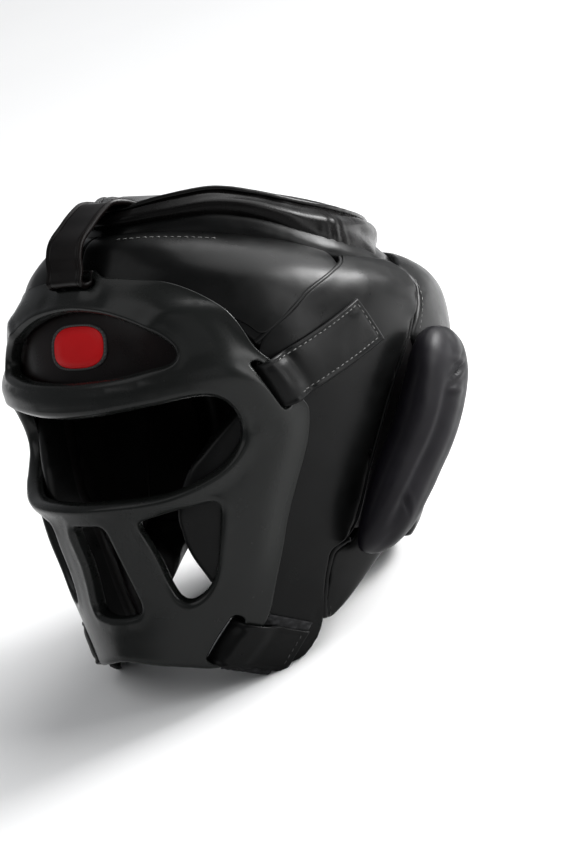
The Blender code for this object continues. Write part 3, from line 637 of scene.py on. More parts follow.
def build_grill():
    points, edges, drop_at, ring_of = [], [], [], []
    for label, loop in LOOPS.items():
        for k, dist in enumerate(EDGE_RINGS):
            if "slot" in label and dist > 1.8:
                break
            ring = inset(loop, dist, label != "edge") if dist else loop
            start = len(points)
            points += [tuple(p) for p in ring]
            drop_at += [dist == 0] * len(ring)
            edges += [(start + i, start + (i + 1) % len(ring)) for i in range(len(ring))]
    xs = np.arange(-140, 141, GRILL_STEP)
    ys = np.arange(2, 230, GRILL_STEP * 0.87)
    lattice_points = np.array([(x + (GRILL_STEP / 2 if j % 2 else 0), y) for j, y in enumerate(ys) for x in xs])
    ok = inside(lattice_points, LOOPS["edge"]) & (distance(lattice_points, LOOPS["edge"]) > 5.6)
    for label, loop in LOOPS.items():
        if label != "edge":
            ok &= ~inside(lattice_points, loop)
            ok &= distance(lattice_points, loop) > (2.8 if "slot" in label else 5.6)
    points += [tuple(p) for p in lattice_points[ok]]
    drop_at += [False] * int(ok.sum())
    flat, _, tris, origin, _, _ = delaunay_2d_cdt(points, edges, [], 0, 1e-4)
    flat = np.array([tuple(p) for p in flat])
    tris = np.array([t for t in tris if len(t) == 3])
    centre = flat[tris].mean(1)
    keep = inside(centre, LOOPS["edge"])
    for label, loop in LOOPS.items():
        if label != "edge":
            keep &= ~inside(centre, loop)
    tris = tris[keep]
    d = {label: distance(flat, loop) for label, loop in LOOPS.items()}
    angle, height = np.degrees(flat[:, 0] / GRILL_RADIUS), flat[:, 1]
    holes = np.minimum.reduce([d[k] for k in d if k != "edge" and "slot" not in k])
    slots = np.minimum.reduce([d[k] for k in d if "slot" in k])
    nearest = np.minimum(holes, d["edge"])
    settle = smooth((height - 30) / 50)
    edge_thin = (1 - smooth(d["edge"] / 14)) * settle
    round_out = np.maximum(roll(nearest, EDGE_ROUND) - 2.2 * edge_thin * (d["edge"] < 4), roll(slots, 1.2))
    base, normal = surface(GRILL, angle, height)
    shape = grill_relief(angle, height, d)
    outer = base + normal * (shape - round_out + 0.12 * noise(base, 22, 9))[:, None]
    thick = GRILL_THICKNESS + (LIP_DEPTH - GRILL_THICKNESS) * (1 - smooth(holes / 8)) - 3.2 * edge_thin
    inner = base + normal * (shape * 0.6 * (shape > 0) + np.minimum(shape, 0) - thick + roll(nearest, 1.4))[:, None]
    n = len(flat)
    faces = [tuple(t) for t in tris] + [tuple(n + t[::-1]) for t in tris]
    directed = {}
    for t in tris:
        for a, b in ((t[0], t[1]), (t[1], t[2]), (t[2], t[0])):
            directed[(int(a), int(b))] = True
    for a, b in directed:
        if (b, a) not in directed:
            faces.append((b, a, n + a, n + b))
    used = sorted({i for f in faces for i in f})
    index = {v: k for k, v in enumerate(used)}
    points = np.concatenate([outer, inner])[used]
    faces = [tuple(index[i] for i in f) for f in faces]
    return piece("moulded_face_grill", points, faces, PLASTIC, "grill_plastic", ["face_grill"])


# ---------------------------------------------------------------- pads
def side_moves(angle, height, base, edges):
    """Soft hollows and the wrinkles near the cheek seam."""
    out = -0.9 * bump(np.hypot((angle - 74) * 1.9, height - 12), 26) * np.sin(height * 0.55 + angle * 0.35) ** 2
    crease = np.abs((height - 22) + 0.9 * (angle - 76))
    out = out - 1.2 * bump(crease, 2.6) * bump(angle - 77, 7)
    out = out - 0.9 * bump((height - 37) + 0.8 * (angle - 76), 2.2) * bump(angle - 77.5, 5)
    return out


def side_edges(angle, height):
    """Flush where it is sewn to the top and jaw panels, rounded by the grill's inside and beside the ear cushion."""
    sewn_rear = np.maximum(smooth((84 - height) / 8), smooth((height - 198) / 8))
    sewn_front = smooth((height - 152) / 12)
    return ((0.9 - 0.88 * sewn_front, 4.0 - 3.5 * sewn_front), (0.6 - 0.5 * sewn_rear, 3.0 - 2.2 * sewn_rear), (1.0, 5.0), (0.12, 0.9))


def top_edges(angle, height):
    rear = smooth((np.abs(angle) - 84) / 8)
    return ((0.02, 0.5), (0.35, 2.4), (0.1 + 0.25 * rear, 0.8 + 0.8 * rear), (0.5, 2.6))


def jaw_edges(angle, height):
    return ((0.12, 1.0), (0.8, 4.5), (0.6, 4.0), (0.5, 3.0))


def jaw_stuffing(angle, height, near):
    """The cheek's inner side is stuffed fuller towards the chin."""
    return 11.0 * smooth((82 - height) / 24) * smooth((np.abs(angle) - 52) / 14) * smooth(near / 16)


def build_pads():
    leather_pad("side_panel_left", SIDE_PANEL, "height", 23, side_edges, mirror="side_panel_right", moves=side_moves,
                puckers=((1, 0.62, 12, 8, 11), (3, 0.12, 6, 7, 12)), fill=0.75, stuffing=jaw_stuffing)
    leather_pad("top_panel_left", TOP_PANEL, "angle", 23, top_edges, mirror="top_panel_right",
                puckers=((1, 0.3, 6, 8, 21), (0, 0.12, 5, 7, 22)), fill=0.75)
    leather_pad("jaw_panel_left", JAW_PANEL, "height", 27, jaw_edges, mirror="jaw_panel_right",
                puckers=((0, 0.45, 7, 7, 31),), fill=0.7, stuffing=jaw_stuffing)
    leather_pad("back_panel", BACK_PANEL, "height", 23, ((0.5, 2.6), (0.5, 2.6), (1.0, 5.0), (0.8, 3.4)),
                puckers=((0, 0.4, 7, 8, 41), (1, 0.4, 7, 8, 42)), fill=0.75)
    leather_pad("forehead_pad", FOREHEAD_PAD, "angle", 20, ((1.0, 5.0),) * 4, puff=0.5, material=SATIN, slot="lining", fill=0.6,
                lump=0.6)


def periodic(rows, angle, column):
    """A table of half a turn, smooth all the way round."""
    rows = np.asarray(rows, float)
    full = np.concatenate([rows, [(360 - r[0],) + tuple(r[1:]) for r in rows[-2:0:-1]]])
    a = np.mod(angle, 360)
    x = np.concatenate([full[-3:, 0] - 360, full[:, 0], full[:3, 0] + 360])
    y = np.concatenate([full[-3:, column], full[:, column], full[:3, column]])
    slope = np.gradient(y, x)
    i = np.clip(np.searchsorted(x, a, side="right") - 1, 0, len(x) - 2)
    h = x[i + 1] - x[i]
    t = (a - x[i]) / h
    return ((1 + 2 * t) * (1 - t) ** 2 * y[i] + t * (1 - t) ** 2 * h * slope[i] + t * t * (3 - 2 * t) * y[i + 1]
            + t * t * (t - 1) * h * slope[i + 1])


def rim_height(angle):
    a = [r[0] for r in TOP_PANEL] + [100, 112.5] + [r[1] for r in BACK_PANEL[-4:]] + [180]
    h = [r[2] for r in TOP_PANEL] + [236.8, 237] + [r[0] for r in BACK_PANEL[-4:]] + [248]
    return np.interp(np.abs(angle), a, h)


def oval(size, angle_deg):
    a, front, back = size
    t = np.radians(angle_deg)
    b = np.where(np.cos(t) >= 0, front, back)
    return ((np.abs(np.sin(t)) / a) ** CROWN_POWER + (np.abs(np.cos(t)) / b) ** CROWN_POWER) ** (-1 / CROWN_POWER)


CROWN_COUNT = 360


def crown_profile():
    """(ring, angle, 2): reach and height of the crown cushion's control rings."""
    angle = np.linspace(-180, 180, CROWN_COUNT, endpoint=False)
    roll_h, pipe_h = periodic(CROWN_EDGE, angle, 1), periodic(CROWN_EDGE, angle, 2)
    rings = []
    for deep, inward in reversed(CROWN_TUCK):
        wall = on_surface(BODY, angle, rim_height(angle), np.full(angle.shape, -PUFF - deep))
        rings.append(np.stack([np.hypot(wall[:, 0], wall[:, 1]) - inward, wall[:, 2]], -1))
    side, piping = oval(CROWN_ROLL, angle), oval(CROWN_PIPING, angle)
    rings.append(np.stack([side, roll_h], -1))
    rings.append(np.stack([(side + piping) / 2 + 1.0, (roll_h + pipe_h) / 2 + 1.0], -1))
    rings.append(np.stack([piping, pipe_h], -1))
    for scale, lift in CROWN_RINGS:
        rings.append(np.stack([piping * scale, pipe_h + (CROWN_CREST - pipe_h) * (1 - scale**2.5) + lift], -1))
    return angle, np.array(rings)


def build_crown():
    angle, rings = crown_profile()
    for k in range(len(rings)):  # even out the corners of the tables round the ring
        for _ in range(6):
            rings[k] = 0.25 * np.roll(rings[k], 1, 0) + 0.5 * rings[k] + 0.25 * np.roll(rings[k], -1, 0)
    t = np.radians(angle)
    n = CROWN_COUNT
    # profile positions: control rings 0 tuck .. 3 roll, 5 piping, 9 crest
    at = np.concatenate([np.linspace(0, 2, 7)[:-1], np.linspace(2, 3, 8)[:-1], np.linspace(3, 5, 15)[:-1],
                         5 + np.array([0, 0.12, 0.3, 0.55, 0.8]), np.linspace(6, 9, 13)])
    grid = np.stack([section(rings[:, j], at) for j in range(n)], 1)
    arc = np.cumsum(np.concatenate([[0], np.linalg.norm(np.diff(grid.mean(1), axis=0), axis=1)]))
    pipe = np.interp(5, at, arc)
    out_r = np.zeros_like(grid[..., 0])
    round_mm = t * 85
    ahead = smooth((np.abs(angle) - 30) / 20)
    for j, a in enumerate(arc):
        d = a - pipe
        if d < 0:  # the side roll under the piping: soft puckers that die away, and a valley under the roll
            fold = line_noise(round_mm + 500, 11, 51) + 0.4 * line_noise(round_mm + 500, 4.7, 52)
            out_r[j] = 0.30 * fold * np.exp(d / 6) - 1.0 * bump(d + 2.2, 2.4)
            out_r[j] += 0.45 * line_noise(round_mm + 900 + 2 * d, 34, 53)
            out_r[j] += ahead * (0.9 * bump(d + 11, 6) - 1.5 * bump(d + 23, 5))
            out_r[j] += 2.4 * smooth((np.abs(angle) - 100) / 30) * bump(d + 7, 8)
        else:
            fold = line_noise(round_mm + 200, 7.5, 54) + 0.5 * line_noise(round_mm + 200, 3.3, 55)
            out_r[j] = 0.5 * fold * np.exp(-d / 9) * smooth(d / 2) - 0.9 * bump(d - 2.6, 2.2) - 0.7 * bump(d - 9.5, 2.4)
    # small folds where the cushion's rear end drops
    rear = bump(np.abs(angle) - 92, 13)
    folds = np.sin(np.radians(angle) * 85 * 2 * np.pi / 8.5 + 1.1 * line_noise(round_mm + 300, 9, 56))
    for j, a in enumerate(arc):
        out_r[j] += 0.34 * rear * folds * bump(a - pipe + 17, 12)
    normal = np.stack([np.gradient(grid[..., 1], axis=0), -np.gradient(grid[..., 0], axis=0)], -1)
    normal /= np.maximum(np.linalg.norm(normal, axis=-1, keepdims=True), 1e-9)
    grid = grid + normal * out_r[..., None]
    r, h = grid[..., 0], grid[..., 1]
    points = np.stack([r * np.sin(t), -r * np.cos(t), h], -1)
    m = len(at)
    points = points.reshape(-1, 3)
    low = np.array([[0, 0, float(rings[0][:, 1].mean()) + 3]])
    high = np.array([[0, 0, CROWN_CREST + 0.5]])
    faces = [(k * n + i, k * n + (i + 1) % n, (k + 1) * n + (i + 1) % n, (k + 1) * n + i) for k in range(m - 1) for i in range(n)]
    faces += [(m * n, (i + 1) % n, i) for i in range(n)] + [((m - 1) * n + i, (m - 1) * n + (i + 1) % n, m * n + 1) for i in range(n)]
    piece("crown_cushion", np.concatenate([points, low, high]), faces, [CROWN_SKIN], "black_leather", ["crown_pad"], 0.85)
    # leather band that joins the cushion's underside to the panels' rims
    foot = on_surface(BODY, angle, rim_height(angle) - 3.0, np.full(n, -6.0))
    reach = rings[3][:, 0] - 3.0
    top = np.stack([reach * np.sin(t), -reach * np.cos(t), rings[3][:, 1] + 1.0], -1)
    band = np.stack([foot, foot * 0.5 + top * 0.5, top], 1)
    both = np.concatenate([band.reshape(-1, 3), (band * (0.985, 0.985, 1)).reshape(-1, 3)])
    quads = grid_faces(n, 3, around=True) + grid_faces(n, 3, 3 * n, flip=True, around=True)
    for j in (0, 2):
        quads += [(3 * i + j, 3 * ((i + 1) % n) + j, 3 * n + 3 * ((i + 1) % n) + j, 3 * n + 3 * i + j) for i in range(n)]
    piece("crown_band", both, quads, LEATHER, "black_leather")
    ring = rings[5]
    path = np.stack([ring[:, 0] * np.sin(t), -ring[:, 0] * np.cos(t), ring[:, 1] + 0.4], -1)
    out = np.stack([np.sin(t), -np.cos(t), 0.8 + 0 * t], -1)
    tube("crown_piping", path, out, 1.5 + 0.12 * line_noise(t * 85 + 900, 6, 60), SHINY, "black_leather", closed=True)
    inner = np.stack([section(rings[:, j], 5.55) for j in range(n)])
    line = np.stack([inner[:, 0] * np.sin(t), -inner[:, 0] * np.cos(t), inner[:, 1] - 0.15], -1)
    line = np.concatenate([line, line[:1]])
    up = np.tile((0, 0, 1.0), (n + 1, 1)) + 0.4 * np.concatenate([out, out[:1]])
    stitches("crown_stitching", [(line, up)], THREAD_DARK, length=3.4, gap=1.6, radius=0.42, mirror=False)


# ---------------------------------------------------------------- ear cushions
def build_ears():
    rows = np.array(EAR_PAD, float)
    nv, nu = 132, 108
    along = np.linspace(0, 1, nv)
    height = 71.5 + (197.0 - 71.5) * along
    angle = np.interp(height, rows[:, 1], rows[:, 0])
    lift = np.interp(height, rows[:, 1], rows[:, 3])
    for _ in range(8):
        lift[1:-1] = 0.25 * lift[:-2] + 0.5 * lift[1:-1] + 0.25 * lift[2:]
        angle[1:-1] = 0.25 * angle[:-2] + 0.5 * angle[1:-1] + 0.25 * angle[2:]
    angle = angle - 5.5 * (1 - smooth((height - 70) / 85))
    centre, normal = surface(BODY, angle, height)
    centre = centre + normal * lift[:, None]
    across = np.cross((0, 0, 1.0), normal)
    across /= np.linalg.norm(across, axis=1, keepdims=True)
    w = np.abs(2 * along - 1)
    half = 25.6 * (1 - w ** (3.4 + 2.2 * smooth((height - 140) / 30))) ** (1 / 2.3) * (1 - 0.16 * smooth(1 - along * 1.4))
    thick = 13.2 * (1 - w**3.4) ** (1 / 2.2) * (1 - 0.15 * smooth((150 - height) / 60))
    t = np.linspace(0, 2 * np.pi, nu, endpoint=False)
    c, s = np.cos(t), np.sin(t)
    u = np.sign(c) * np.abs(c) ** 0.82
    v = np.sign(s) * np.abs(s) ** 0.80
    points = centre[:, None] + (u[None] * half[:, None])[..., None] * across[:, None] + (v[None] * thick[:, None])[..., None] * normal[:, None]
    outward = (u[None] * half[:, None] / 25)[..., None] * across[:, None] + (v[None] * thick[:, None] / 13)[..., None] * normal[:, None]
    outward /= np.maximum(np.linalg.norm(outward, axis=-1, keepdims=True), 1e-6)
    # the cushion's face: a soft channel along it, a gathered tuck by the upper rear edge and a crease near its foot
    au = u[None] * half[:, None]
    face = smooth(v[None] * 2 + 0.2) * np.ones((nv, 1))
    h = height[:, None] + 0 * au
    move = -1.5 * bump(au + 7, 6) * face * smooth((h - 82) / 20) * smooth((178 - h) / 22)
    move += 0.7 * bump(au - 4, 8) * face
    for k, (dy, tilt, deep) in enumerate(((0, 0.5, 3.0), (4.6, 0.6, 1.6), (-4.2, 0.35, 1.1))):
        move -= deep * bump(h - (170 + dy) - tilt * (au + 2), 2.4) * bump(au - 3, 12) * smooth(v[None] * 3 + 1)
    move += 0.9 * bump(h - 163, 3.2) * bump(au - 3, 12) + 0.9 * bump(h - 178.5, 3.2) * bump(au - 3, 12)
    move -= 1.4 * bump((h - 101) + 0.9 * (au + 3), 1.9) * bump(au + 2, 7) * face
    move += 0.5 * bump((h - 105) + 0.9 * (au + 3), 3.0) * bump(au + 2, 8) * face
    points = points + outward * (move + 0.45 * noise(points, 24, 72) + 0.15 * noise(points, 9, 73))[..., None]
    faces = grid_faces(nv, nu)
    faces += [(i * nu + nu - 1, (i + 1) * nu + nu - 1, (i + 1) * nu, i * nu) for i in range(nv - 1)]
    p = points.reshape(-1, 3)
    ends = [tuple(range(nu)), tuple((nv - 1) * nu + i for i in reversed(range(nu)))]
    for sign, side in ((1, "left"), (-1, "right")):
        piece(f"ear_cushion_{side}", p * (sign, 1, 1), faces + ends, EAR, "ear_leather", [f"ear_pad_{side}"], 0.8, weld=0.05)
    # thin leather behind each cushion, sewn to the panels round the ear hole
    fa, fh = np.meshgrid(np.linspace(0, 1, 22), np.linspace(0, 1, 62), indexing="ij")
    h = 83.5 + (192 - 83.5) * fh
    front = np.interp(h, [r[0] for r in SIDE_PANEL], [r[2] for r in SIDE_PANEL]) - 2.0
    rear_edge = np.minimum(np.interp(h, [r[0] for r in BACK_PANEL], [r[1] for r in BACK_PANEL]) + 2.0, 123.5)
    a = front + (rear_edge - front) * fa
    base, normal = surface(BODY, a, h)
    hang = 0.4 * noise(base, 20, 75)
    sheets = [base + normal * (k + hang)[..., None] for k in (-2.4, -3.6)]
    nl, nw = a.shape
    n = nl * nw
    faces = grid_faces(nl, nw) + grid_faces(nl, nw, n, flip=True) + rim_faces(nl, nw, n)
    p = np.concatenate([q.reshape(-1, 3) for q in sheets])
    faces = faces + [tuple(len(p) + i for i in reversed(f)) for f in faces]
    piece("ear_cushion_backing", np.concatenate([p, p * (-1, 1, 1)]), faces, LINING, "lining")


# ---------------------------------------------------------------- straps
def side_tab(name, strap, bar, replaces):
    """A stitched leather tab that comes out of a slot of the grill and lies on the side panel."""
    (a0, h0), (a1, h1) = strap[0]
    (b0, g0), (b1, g1) = strap[1]
    middle = lambda pair: on_surface(BODY, (pair[0][0] + pair[1][0]) / 2, (pair[0][1] + pair[1][1]) / 2)
    length = float(np.linalg.norm(middle(strap[1]) - middle(strap[0])))
    width = float(np.linalg.norm(on_surface(BODY, *strap[1][0]) - on_surface(BODY, *strap[1][1])))
    along = np.concatenate([[-5, -3, -1.5], np.arange(0, length - 2.2, 1.7), [length - 2, length - 1.1, length - 0.45, length]])
    edge = knots(width, 1.9, near=(0, 0.35, 0.9, 1.7, 2.6, 3.4))
    lift = np.interp(along, [-5, 0, 2.5, bar * 0.5, bar + 0.5, bar + 6, length * 0.5, length],
                     [-1.0, 2.4, 6.2, 6.4, 5.0, 1.5, 0.9, 0.7])
    for _ in range(2):
        lift[1:-1] = 0.25 * lift[:-2] + 0.5 * lift[1:-1] + 0.25 * lift[2:]
    f = (along / length)[:, None]
    e = edge[None, :]
    angle = (a0 + (b0 - a0) * f) * (1 - e) + (a1 + (b1 - a1) * f) * e
    height = (h0 + (g0 - h0) * f) * (1 - e) + (h1 + (g1 - h1) * f) * e
    base, normal = surface(BODY, angle, height)
    d = np.minimum(e * width, (1 - e) * width) + 0 * f
    d_end = np.maximum(length - along, 0)[:, None] + 0 * e
    near = np.minimum(d, d_end)
    thick = 2.3 - roll(near, 0.9) - 0.55 * bump(near - 3.0, 1.1) + 0.35 * smooth((near - 3) / 6)
    thick = thick + 0.22 * noise(base, 7, 81) + 0.3 * noise(base, 16, 82)
    # soft fold where it turns over the bar
    thick = thick + 0.7 * bump(along[:, None] - bar - 3, 5) * np.sin(e * np.pi) - 0.5 * bump(along[:, None] - bar - 9, 3.5)
    outer = base + normal * (lift[:, None] + thick)[..., None]
    inner = base + normal * (lift[:, None] + 0.1 + roll(near, 0.5))[..., None]
    nl, nw = angle.shape
    n = nl * nw
    faces = grid_faces(nl, nw) + grid_faces(nl, nw, n, flip=True) + rim_faces(nl, nw, n)
    p = np.concatenate([outer.reshape(-1, 3), inner.reshape(-1, 3)])
    for sign, side in ((1, "left"), (-1, "right")):
        piece(f"{name}_{side}", p * (sign, 1, 1), faces, LEATHER, "black_leather", [f"{replaces}_{side}"], soft=True)

    def seam(inset_mm, start):
        """Stitch lines along both long edges and across the free end."""
        j = [int(np.argmin(np.abs(edge * width - x))) for x in (inset_mm, width - inset_mm)]
        k0, k1 = int(np.searchsorted(along, start)), int(np.argmin(np.abs(along - (length - inset_mm))))
        return [(outer[k0:k1 + 1, q], normal[k0:k1 + 1, q]) for q in j] + [(outer[k1, j[0]:j[1] + 1], normal[k1, j[0]:j[1] + 1])]

    return seam


def build_straps():
    seam = side_tab("temple_tab", TEMPLE_STRAP, 8.0, "temple_strap")
    stitches("temple_tab_stitching", seam(3.0, 9.5), length=2.4, gap=1.4, radius=0.27)
    seam = side_tab("jaw_tab", JAW_STRAP, 13.0, "jaw_strap")
    stitches("jaw_tab_stitching", seam(3.0, 9.5)[2:], THREAD_DARK, length=2.6, gap=1.5, radius=0.3)
    # hook-and-loop patches that stick out past the jaw tabs
    for k, (e0, e1, a0, a1) in enumerate(((-0.20, 0.02, 0.30, 0.97), (0.98, 1.13, 0.12, 0.80))):
        fa, fe = np.meshgrid(np.linspace(a0, a1, 34), np.linspace(e0, e1, 8), indexing="ij")
        (p0, q0), (p1, q1) = JAW_STRAP[0]
        (r0, s0), (r1, s1) = JAW_STRAP[1]
        angle = (p0 + (r0 - p0) * fa) * (1 - fe) + (p1 + (r1 - p1) * fa) * fe
        height = (q0 + (s0 - q0) * fa) * (1 - fe) + (q1 + (s1 - q1) * fa) * fe
        ragged = 0.55 * noise(np.stack([angle * 9, height * 9, angle * 0], -1), 6, 91 + k)
        top = on_surface(BODY, angle, np.maximum(height, 0.5), 1.5 + ragged)
        low = on_surface(BODY, angle, np.maximum(height, 0.5), -0.6 + 0 * ragged)
        nl, nw = angle.shape
        n = nl * nw
        faces = grid_faces(nl, nw) + grid_faces(nl, nw, n, flip=True) + rim_faces(nl, nw, n)
        p = np.concatenate([top.reshape(-1, 3), low.reshape(-1, 3)])
        faces = faces + [tuple(len(p) + i for i in reversed(f)) for f in faces]
        p = np.concatenate([p, p * (-1, 1, 1)])
        piece(f"hook_patch_{'upper' if k == 0 else 'lower'}", p, faces, HOOK, "hook_and_loop", soft=True)


def build_brow_strap():
    inner = 4.6
    at = lambda height, offset: on_surface(GRILL, 0.0, height, offset)[[1, 2]]
    line = [at(225.5, -inner - 1.5), at(219.2, -inner - 1.6), at(217.2, -3.6), at(216.7, -1.2), at(217.4, 1.2),
            at(219.6, 1.8), at(224.5, 1.8), (-131.2, 232), (-129.0, 241), (-119.5, 252), (-110.5, 260.5), (-105.0, 263.0),
            (-99.0, 263.6), (-93.0, 263.4), (-87.0, 262.0), (-81.0, 259.5)]
    line = curve(np.array([tuple(p) for p in line]), 96)
    line[:, 1] += 0.35 * line_noise(np.arange(96) * 1.5, 14, 95)
    ahead = np.gradient(line, axis=0)
    ahead /= np.linalg.norm(ahead, axis=1, keepdims=True)
    side = np.stack([-ahead[:, 1], ahead[:, 0]], 1)
    width = 28.0
    edge = knots(width, 1.6, near=(0, 0.4, 0.9, 1.5, 2.2, 2.9, 3.7, 4.6))
    x = (edge - 0.5) * width
    near = np.minimum(edge, 1 - edge) * width
    welt = 0.9 * bump(near - 1.1, 1.1) - 0.45 * bump(near - 3.0, 0.9)
    cup = 0.6 * (np.abs(x) / 14) ** 2
    both = []
    for sign, lift in ((1, 0.9), (-1, 0.9)):
        offset = sign * (lift - roll(near, 0.6) + welt) + cup
        yz = line[:, None] + side[:, None] * offset[None, :, None]
        both.append(np.stack([np.broadcast_to(x, yz.shape[:2]), yz[..., 0], yz[..., 1]], -1))
    nl, nw = both[0].shape[:2]
    n = nl * nw
    faces = grid_faces(nl, nw) + grid_faces(nl, nw, n, flip=True) + rim_faces(nl, nw, n)
    piece("brow_webbing", np.concatenate([b.reshape(-1, 3) for b in both]), faces, WEB, "strap_web", ["brow_strap"])


# ---------------------------------------------------------------- seams, badge and lining
def build_details():
    light, dark = [], []
    top = [(a, h - 6.8) for a, _, h in TOP_PANEL[1:5]]
    p, n = line_on(BODY, top, 0.12)
    light.append((p, n))
    p, n = line_on(BODY, [(119.8, 226), (118.6, 214), (115.6, 203), (113.6, 196)], -0.8, 50)
    light.append((p, n))
    stitches("seam_stitching_light", light, length=2.3, gap=1.5, radius=0.24)
    p, n = line_on(BODY, [(78.6, 70), (77.6, 58), (78.0, 46), (78.6, 34), (75.5, 20)], 0.0, 60)
    dark.append((on_surface(BODY, *curve([(84.2, 69), (83.4, 60), (83.2, 50), (83.8, 40), (84.6, 34)], 60).T, -1.2 * np.ones(60)), n))
    stitches("seam_stitching_dark", dark, THREAD_DARK, length=2.6, gap=1.4, radius=0.32)
    # piping down the side panels' rear edges, beside the ear cushions
    rear = [(b, h) for h, _, b in SIDE_PANEL[6:16]]
    path, n = line_on(BODY, [(b - 0.2, h) for b, h in rear], -2.4, 110)
    tube("side_panel_piping", path, n, 1.2, LEATHER, "black_leather", mirror="join")
    # the panels' seam allowance that runs on under the grill's rear edge at the temple
    fa, fh = np.meshgrid(np.linspace(0, 1, 26), np.linspace(0, 1, 22), indexing="ij")
    a = 42.5 + 14.0 * fa
    h = 203.5 - 1.45 * (a - 42.5) + (fh - 0.5) * 21
    rim = np.minimum(np.minimum(fa, 1 - fa) * 26, np.minimum(fh, 1 - fh) * 21)
    sheets = [on_surface(BODY, a, h, k - 2.2 * (1 - smooth(rim / 5))) for k in (-0.75, -2.2)]
    nl, nw = a.shape
    n = nl * nw
    faces = grid_faces(nl, nw) + grid_faces(nl, nw, n, flip=True) + rim_faces(nl, nw, n)
    q = np.concatenate([x.reshape(-1, 3) for x in sheets])
    faces = faces + [tuple(len(q) + i for i in reversed(f)) for f in faces]
    piece("temple_seam_allowance", np.concatenate([q, q * (-1, 1, 1)]), faces, LEATHER, "black_leather")
    # narrow leather strips sewn into the seams, gathered a little
    path, n = line_on(BODY, [(50.6, 183.5), (53.75, 189), (61, 202), (67.2, 213.4), (77, 224.7), (84, 231.3), (86.3, 235.5)], -1.35, 90)
    tube("side_seam_strip", path, n, 1.5, LEATHER, "black_leather", mirror="join", flatten=0.8)
    path, n = line_on(BODY, [(81.9, 34), (81.1, 42), (80.9, 52), (81.2, 62), (82.3, 70), (85.2, 74.5), (89.2, 77.5)], -2.0, 90)
    tube("cheek_seam_strip", path, n, 1.9 + 0.22 * line_noise(np.arange(90) * 0.55, 2.4, 61), LEATHER, "black_leather", mirror="join",
         flatten=0.85)
    # a plain red patch on the forehead pad, with a dark welt round it
    t = np.linspace(0, 2 * np.pi, 72, endpoint=False)
    wide = np.sign(np.cos(t)) * np.abs(np.cos(t)) ** 0.72 * 20.0
    tall = np.sign(np.sin(t)) * np.abs(np.sin(t)) ** 0.72 * 11.5
    s_count = len(t)
    for name, profile, m in (("badge_patch", ((1.0, -1.2), (1.0, 0.35), (0.975, 0.7), (0.6, 0.95), (0.02, 1.0)), BADGE_RED),
                             ("badge_welt", ((1.12, -1.2), (1.12, 0.4), (1.09, 0.85), (1.04, 0.85), (1.01, 0.4), (1.01, -1.2)), THREAD_DARK)):
        pts = [on_surface(BODY, np.degrees(wide * k / 120.0), 183.0 + tall * k, np.full(t.shape, lift - 0.25)) for k, lift in profile]
        rings = len(pts)
        faces = [(k * s_count + i, k * s_count + (i + 1) % s_count, (k + 1) * s_count + (i + 1) % s_count, (k + 1) * s_count + i)
                 for k in range(rings - 1) for i in range(s_count)]
        if name == "badge_welt":
            faces += [((rings - 1) * s_count + i, (rings - 1) * s_count + (i + 1) % s_count, (i + 1) % s_count, i) for i in range(s_count)]
        else:
            faces += [tuple(reversed(range(s_count))), tuple((rings - 1) * s_count + i for i in range(s_count))]
        piece(name, np.concatenate(pts), faces, m, "lining")
    # lining of the back: a narrow middle strip between two seams
    inside_lines = []
    for sign in (-1, 1):
        stations = [(180 + sign * 12, 92), (180 + sign * 10.5, 130), (180 + sign * 8, 170), (180 + sign * 6, 210), (180 + sign * 5, 236)]
        path, n = line_on(BODY, stations, -24.2, 90)
        inside_lines.append((path, -n))
    rings = [ring_tube(p, n, 1.0, 8) for p, n in inside_lines]
    pts, faces = [], []
    for r in rings:
        n, s = r.shape[:2]
        b = len(pts)
        pts += list(r.reshape(-1, 3))
        faces += [(b + k * s + i, b + k * s + (i + 1) % s, b + (k + 1) * s + (i + 1) % s, b + (k + 1) * s + i) for k in range(n - 1) for i in range(s)]
        faces += [tuple(b + i for i in reversed(range(s))), tuple(b + (n - 1) * s + i for i in range(s))]
    piece("lining_seams", np.array(pts), faces, SHINY, "lining")


build_grill()
build_pads()
build_crown()
build_ears()
build_straps()
build_brow_strap()
build_details()

for obj, slot, replaced, pad in PIECES:
    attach(obj, "root")
    if replaced:
        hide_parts(*replaced)

# ---------------------------------------------------------------- floor, light and camera
size = 30.0
mesh = bpy.data.meshes.new("floor")
mesh.from_pydata([(-size, -size, 0), (size, -size, 0), (size, size, 0), (-size, size, 0)], [], [(0, 1, 2, 3)])
floor = bpy.data.objects.new("floor", mesh)
bpy.context.scene.collection.objects.link(floor)
m, tree, shader = new_material("pale_floor")
cloud = node(tree, "ShaderNodeTexNoise", Scale=3.0, Detail=2.0)
tree.links.new(node(tree, "ShaderNodeTexCoord").outputs["Object"], cloud.inputs["Vector"])
tree.links.new(ramp(tree, cloud.outputs["Fac"], [(0.3, (0.86, 0.86, 0.86)), (0.7, (0.88, 0.88, 0.88))]), shader.inputs["Base Color"])
shader.inputs["Roughness"].default_value = 0.9
shader.inputs["Specular IOR Level"].default_value = 0.1
mesh.materials.append(m)

CENTRE = Vector((0, 0.0, 0.13))


def softbox(name, direction, distance_m, width, height_m, watts, shade=(1, 1, 1)):
    light = bpy.data.lights.new(name, "AREA")
    light.shape = "RECTANGLE"
    light.size, light.size_y, light.energy, light.color = width, height_m, watts, shade
    o = bpy.data.objects.new(name, light)
    bpy.context.scene.collection.objects.link(o)
    d = turn(direction).normalized()
    o.location = CENTRE + d * distance_m
    o.rotation_euler = (-d).to_track_quat("-Z", "Y").to_euler()
    return o


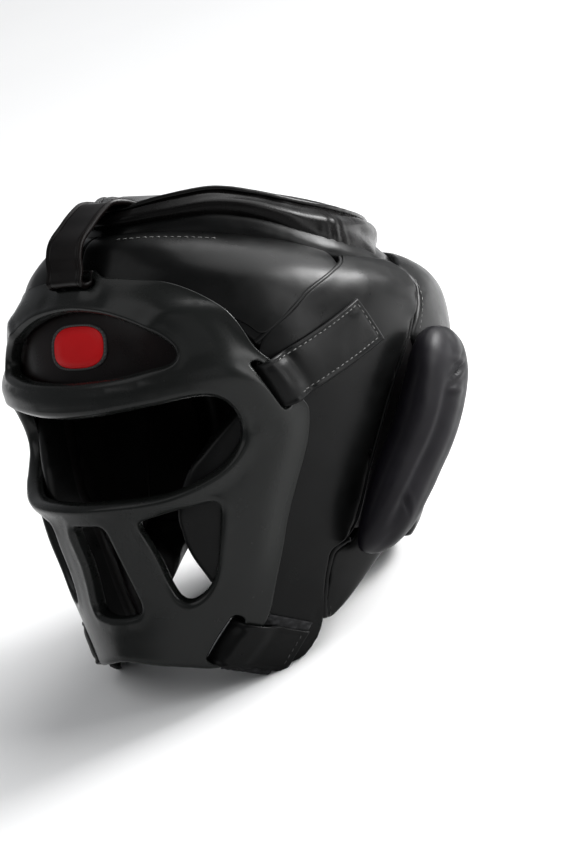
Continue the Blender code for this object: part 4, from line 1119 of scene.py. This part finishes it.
def sun(name, direction, strength, angle_deg):
    light = bpy.data.lights.new(name, "SUN")
    light.energy, light.angle = strength, math.radians(angle_deg)
    o = bpy.data.objects.new(name, light)
    bpy.context.scene.collection.objects.link(o)
    d = turn(direction).normalized()
    o.location = CENTRE + d * 3
    o.rotation_euler = (-d).to_track_quat("-Z", "Y").to_euler()
    return o


sun("sky_sun", (0.20, 0.30, 0.94), 3.1, 60)
softbox("top_box", (0.47, 0.52, 0.72), 1.3, 0.6, 0.35, 29)
softbox("front_box", (-0.25, -0.90, 0.45), 1.6, 1.0, 1.2, 5)
softbox("right_box", (0.95, 0.25, 0.30), 1.6, 0.4, 1.2, 11)
softbox("camera_fill", (0.70, -0.68, 0.10), 2.4, 1.6, 1.6, 4)

world = bpy.data.worlds.new("studio")
bpy.context.scene.world = world
world.use_nodes = True
world.node_tree.nodes["Background"].inputs["Color"].default_value = (0.9, 0.92, 0.95, 1)
world.node_tree.nodes["Background"].inputs["Strength"].default_value = 0.28

scene = bpy.context.scene
scene.view_settings.view_transform = "Standard"
scene.view_settings.look = "None"
scene.view_settings.exposure = 0.0
scene.view_settings.gamma = 1.0

AZIMUTH, ELEVATION, DISTANCE = math.radians(45), math.radians(-2), 2000.0
RIGHT_MM, DOWN_MM = 29.85, 0.5
right = np.array((math.cos(AZIMUTH), math.sin(AZIMUTH), 0))
ahead = np.array((-math.sin(AZIMUTH) * math.cos(ELEVATION), math.cos(AZIMUTH) * math.cos(ELEVATION), -math.sin(ELEVATION)))
up = np.cross(right, ahead)
place = np.array((0, 0, 140.0)) - ahead * DISTANCE + right * RIGHT_MM - up * DOWN_MM
data = bpy.data.cameras.new("camera")
data.sensor_fit = "HORIZONTAL"
data.sensor_width = 36
data.lens = 3484 / 576 * 36
data.clip_end = 100
camera = bpy.data.objects.new("camera", data)
scene.collection.objects.link(camera)
columns = [turn(right), turn(up), -turn(ahead)]
matrix = Matrix.Identity(4)
for k, column in enumerate(columns):
    for r in range(3):
        matrix[r][k] = column[r]
matrix.translation = Vector(rest(place))
camera.matrix_world = matrix
scene.camera = camera

bpy.context.view_layer.update()
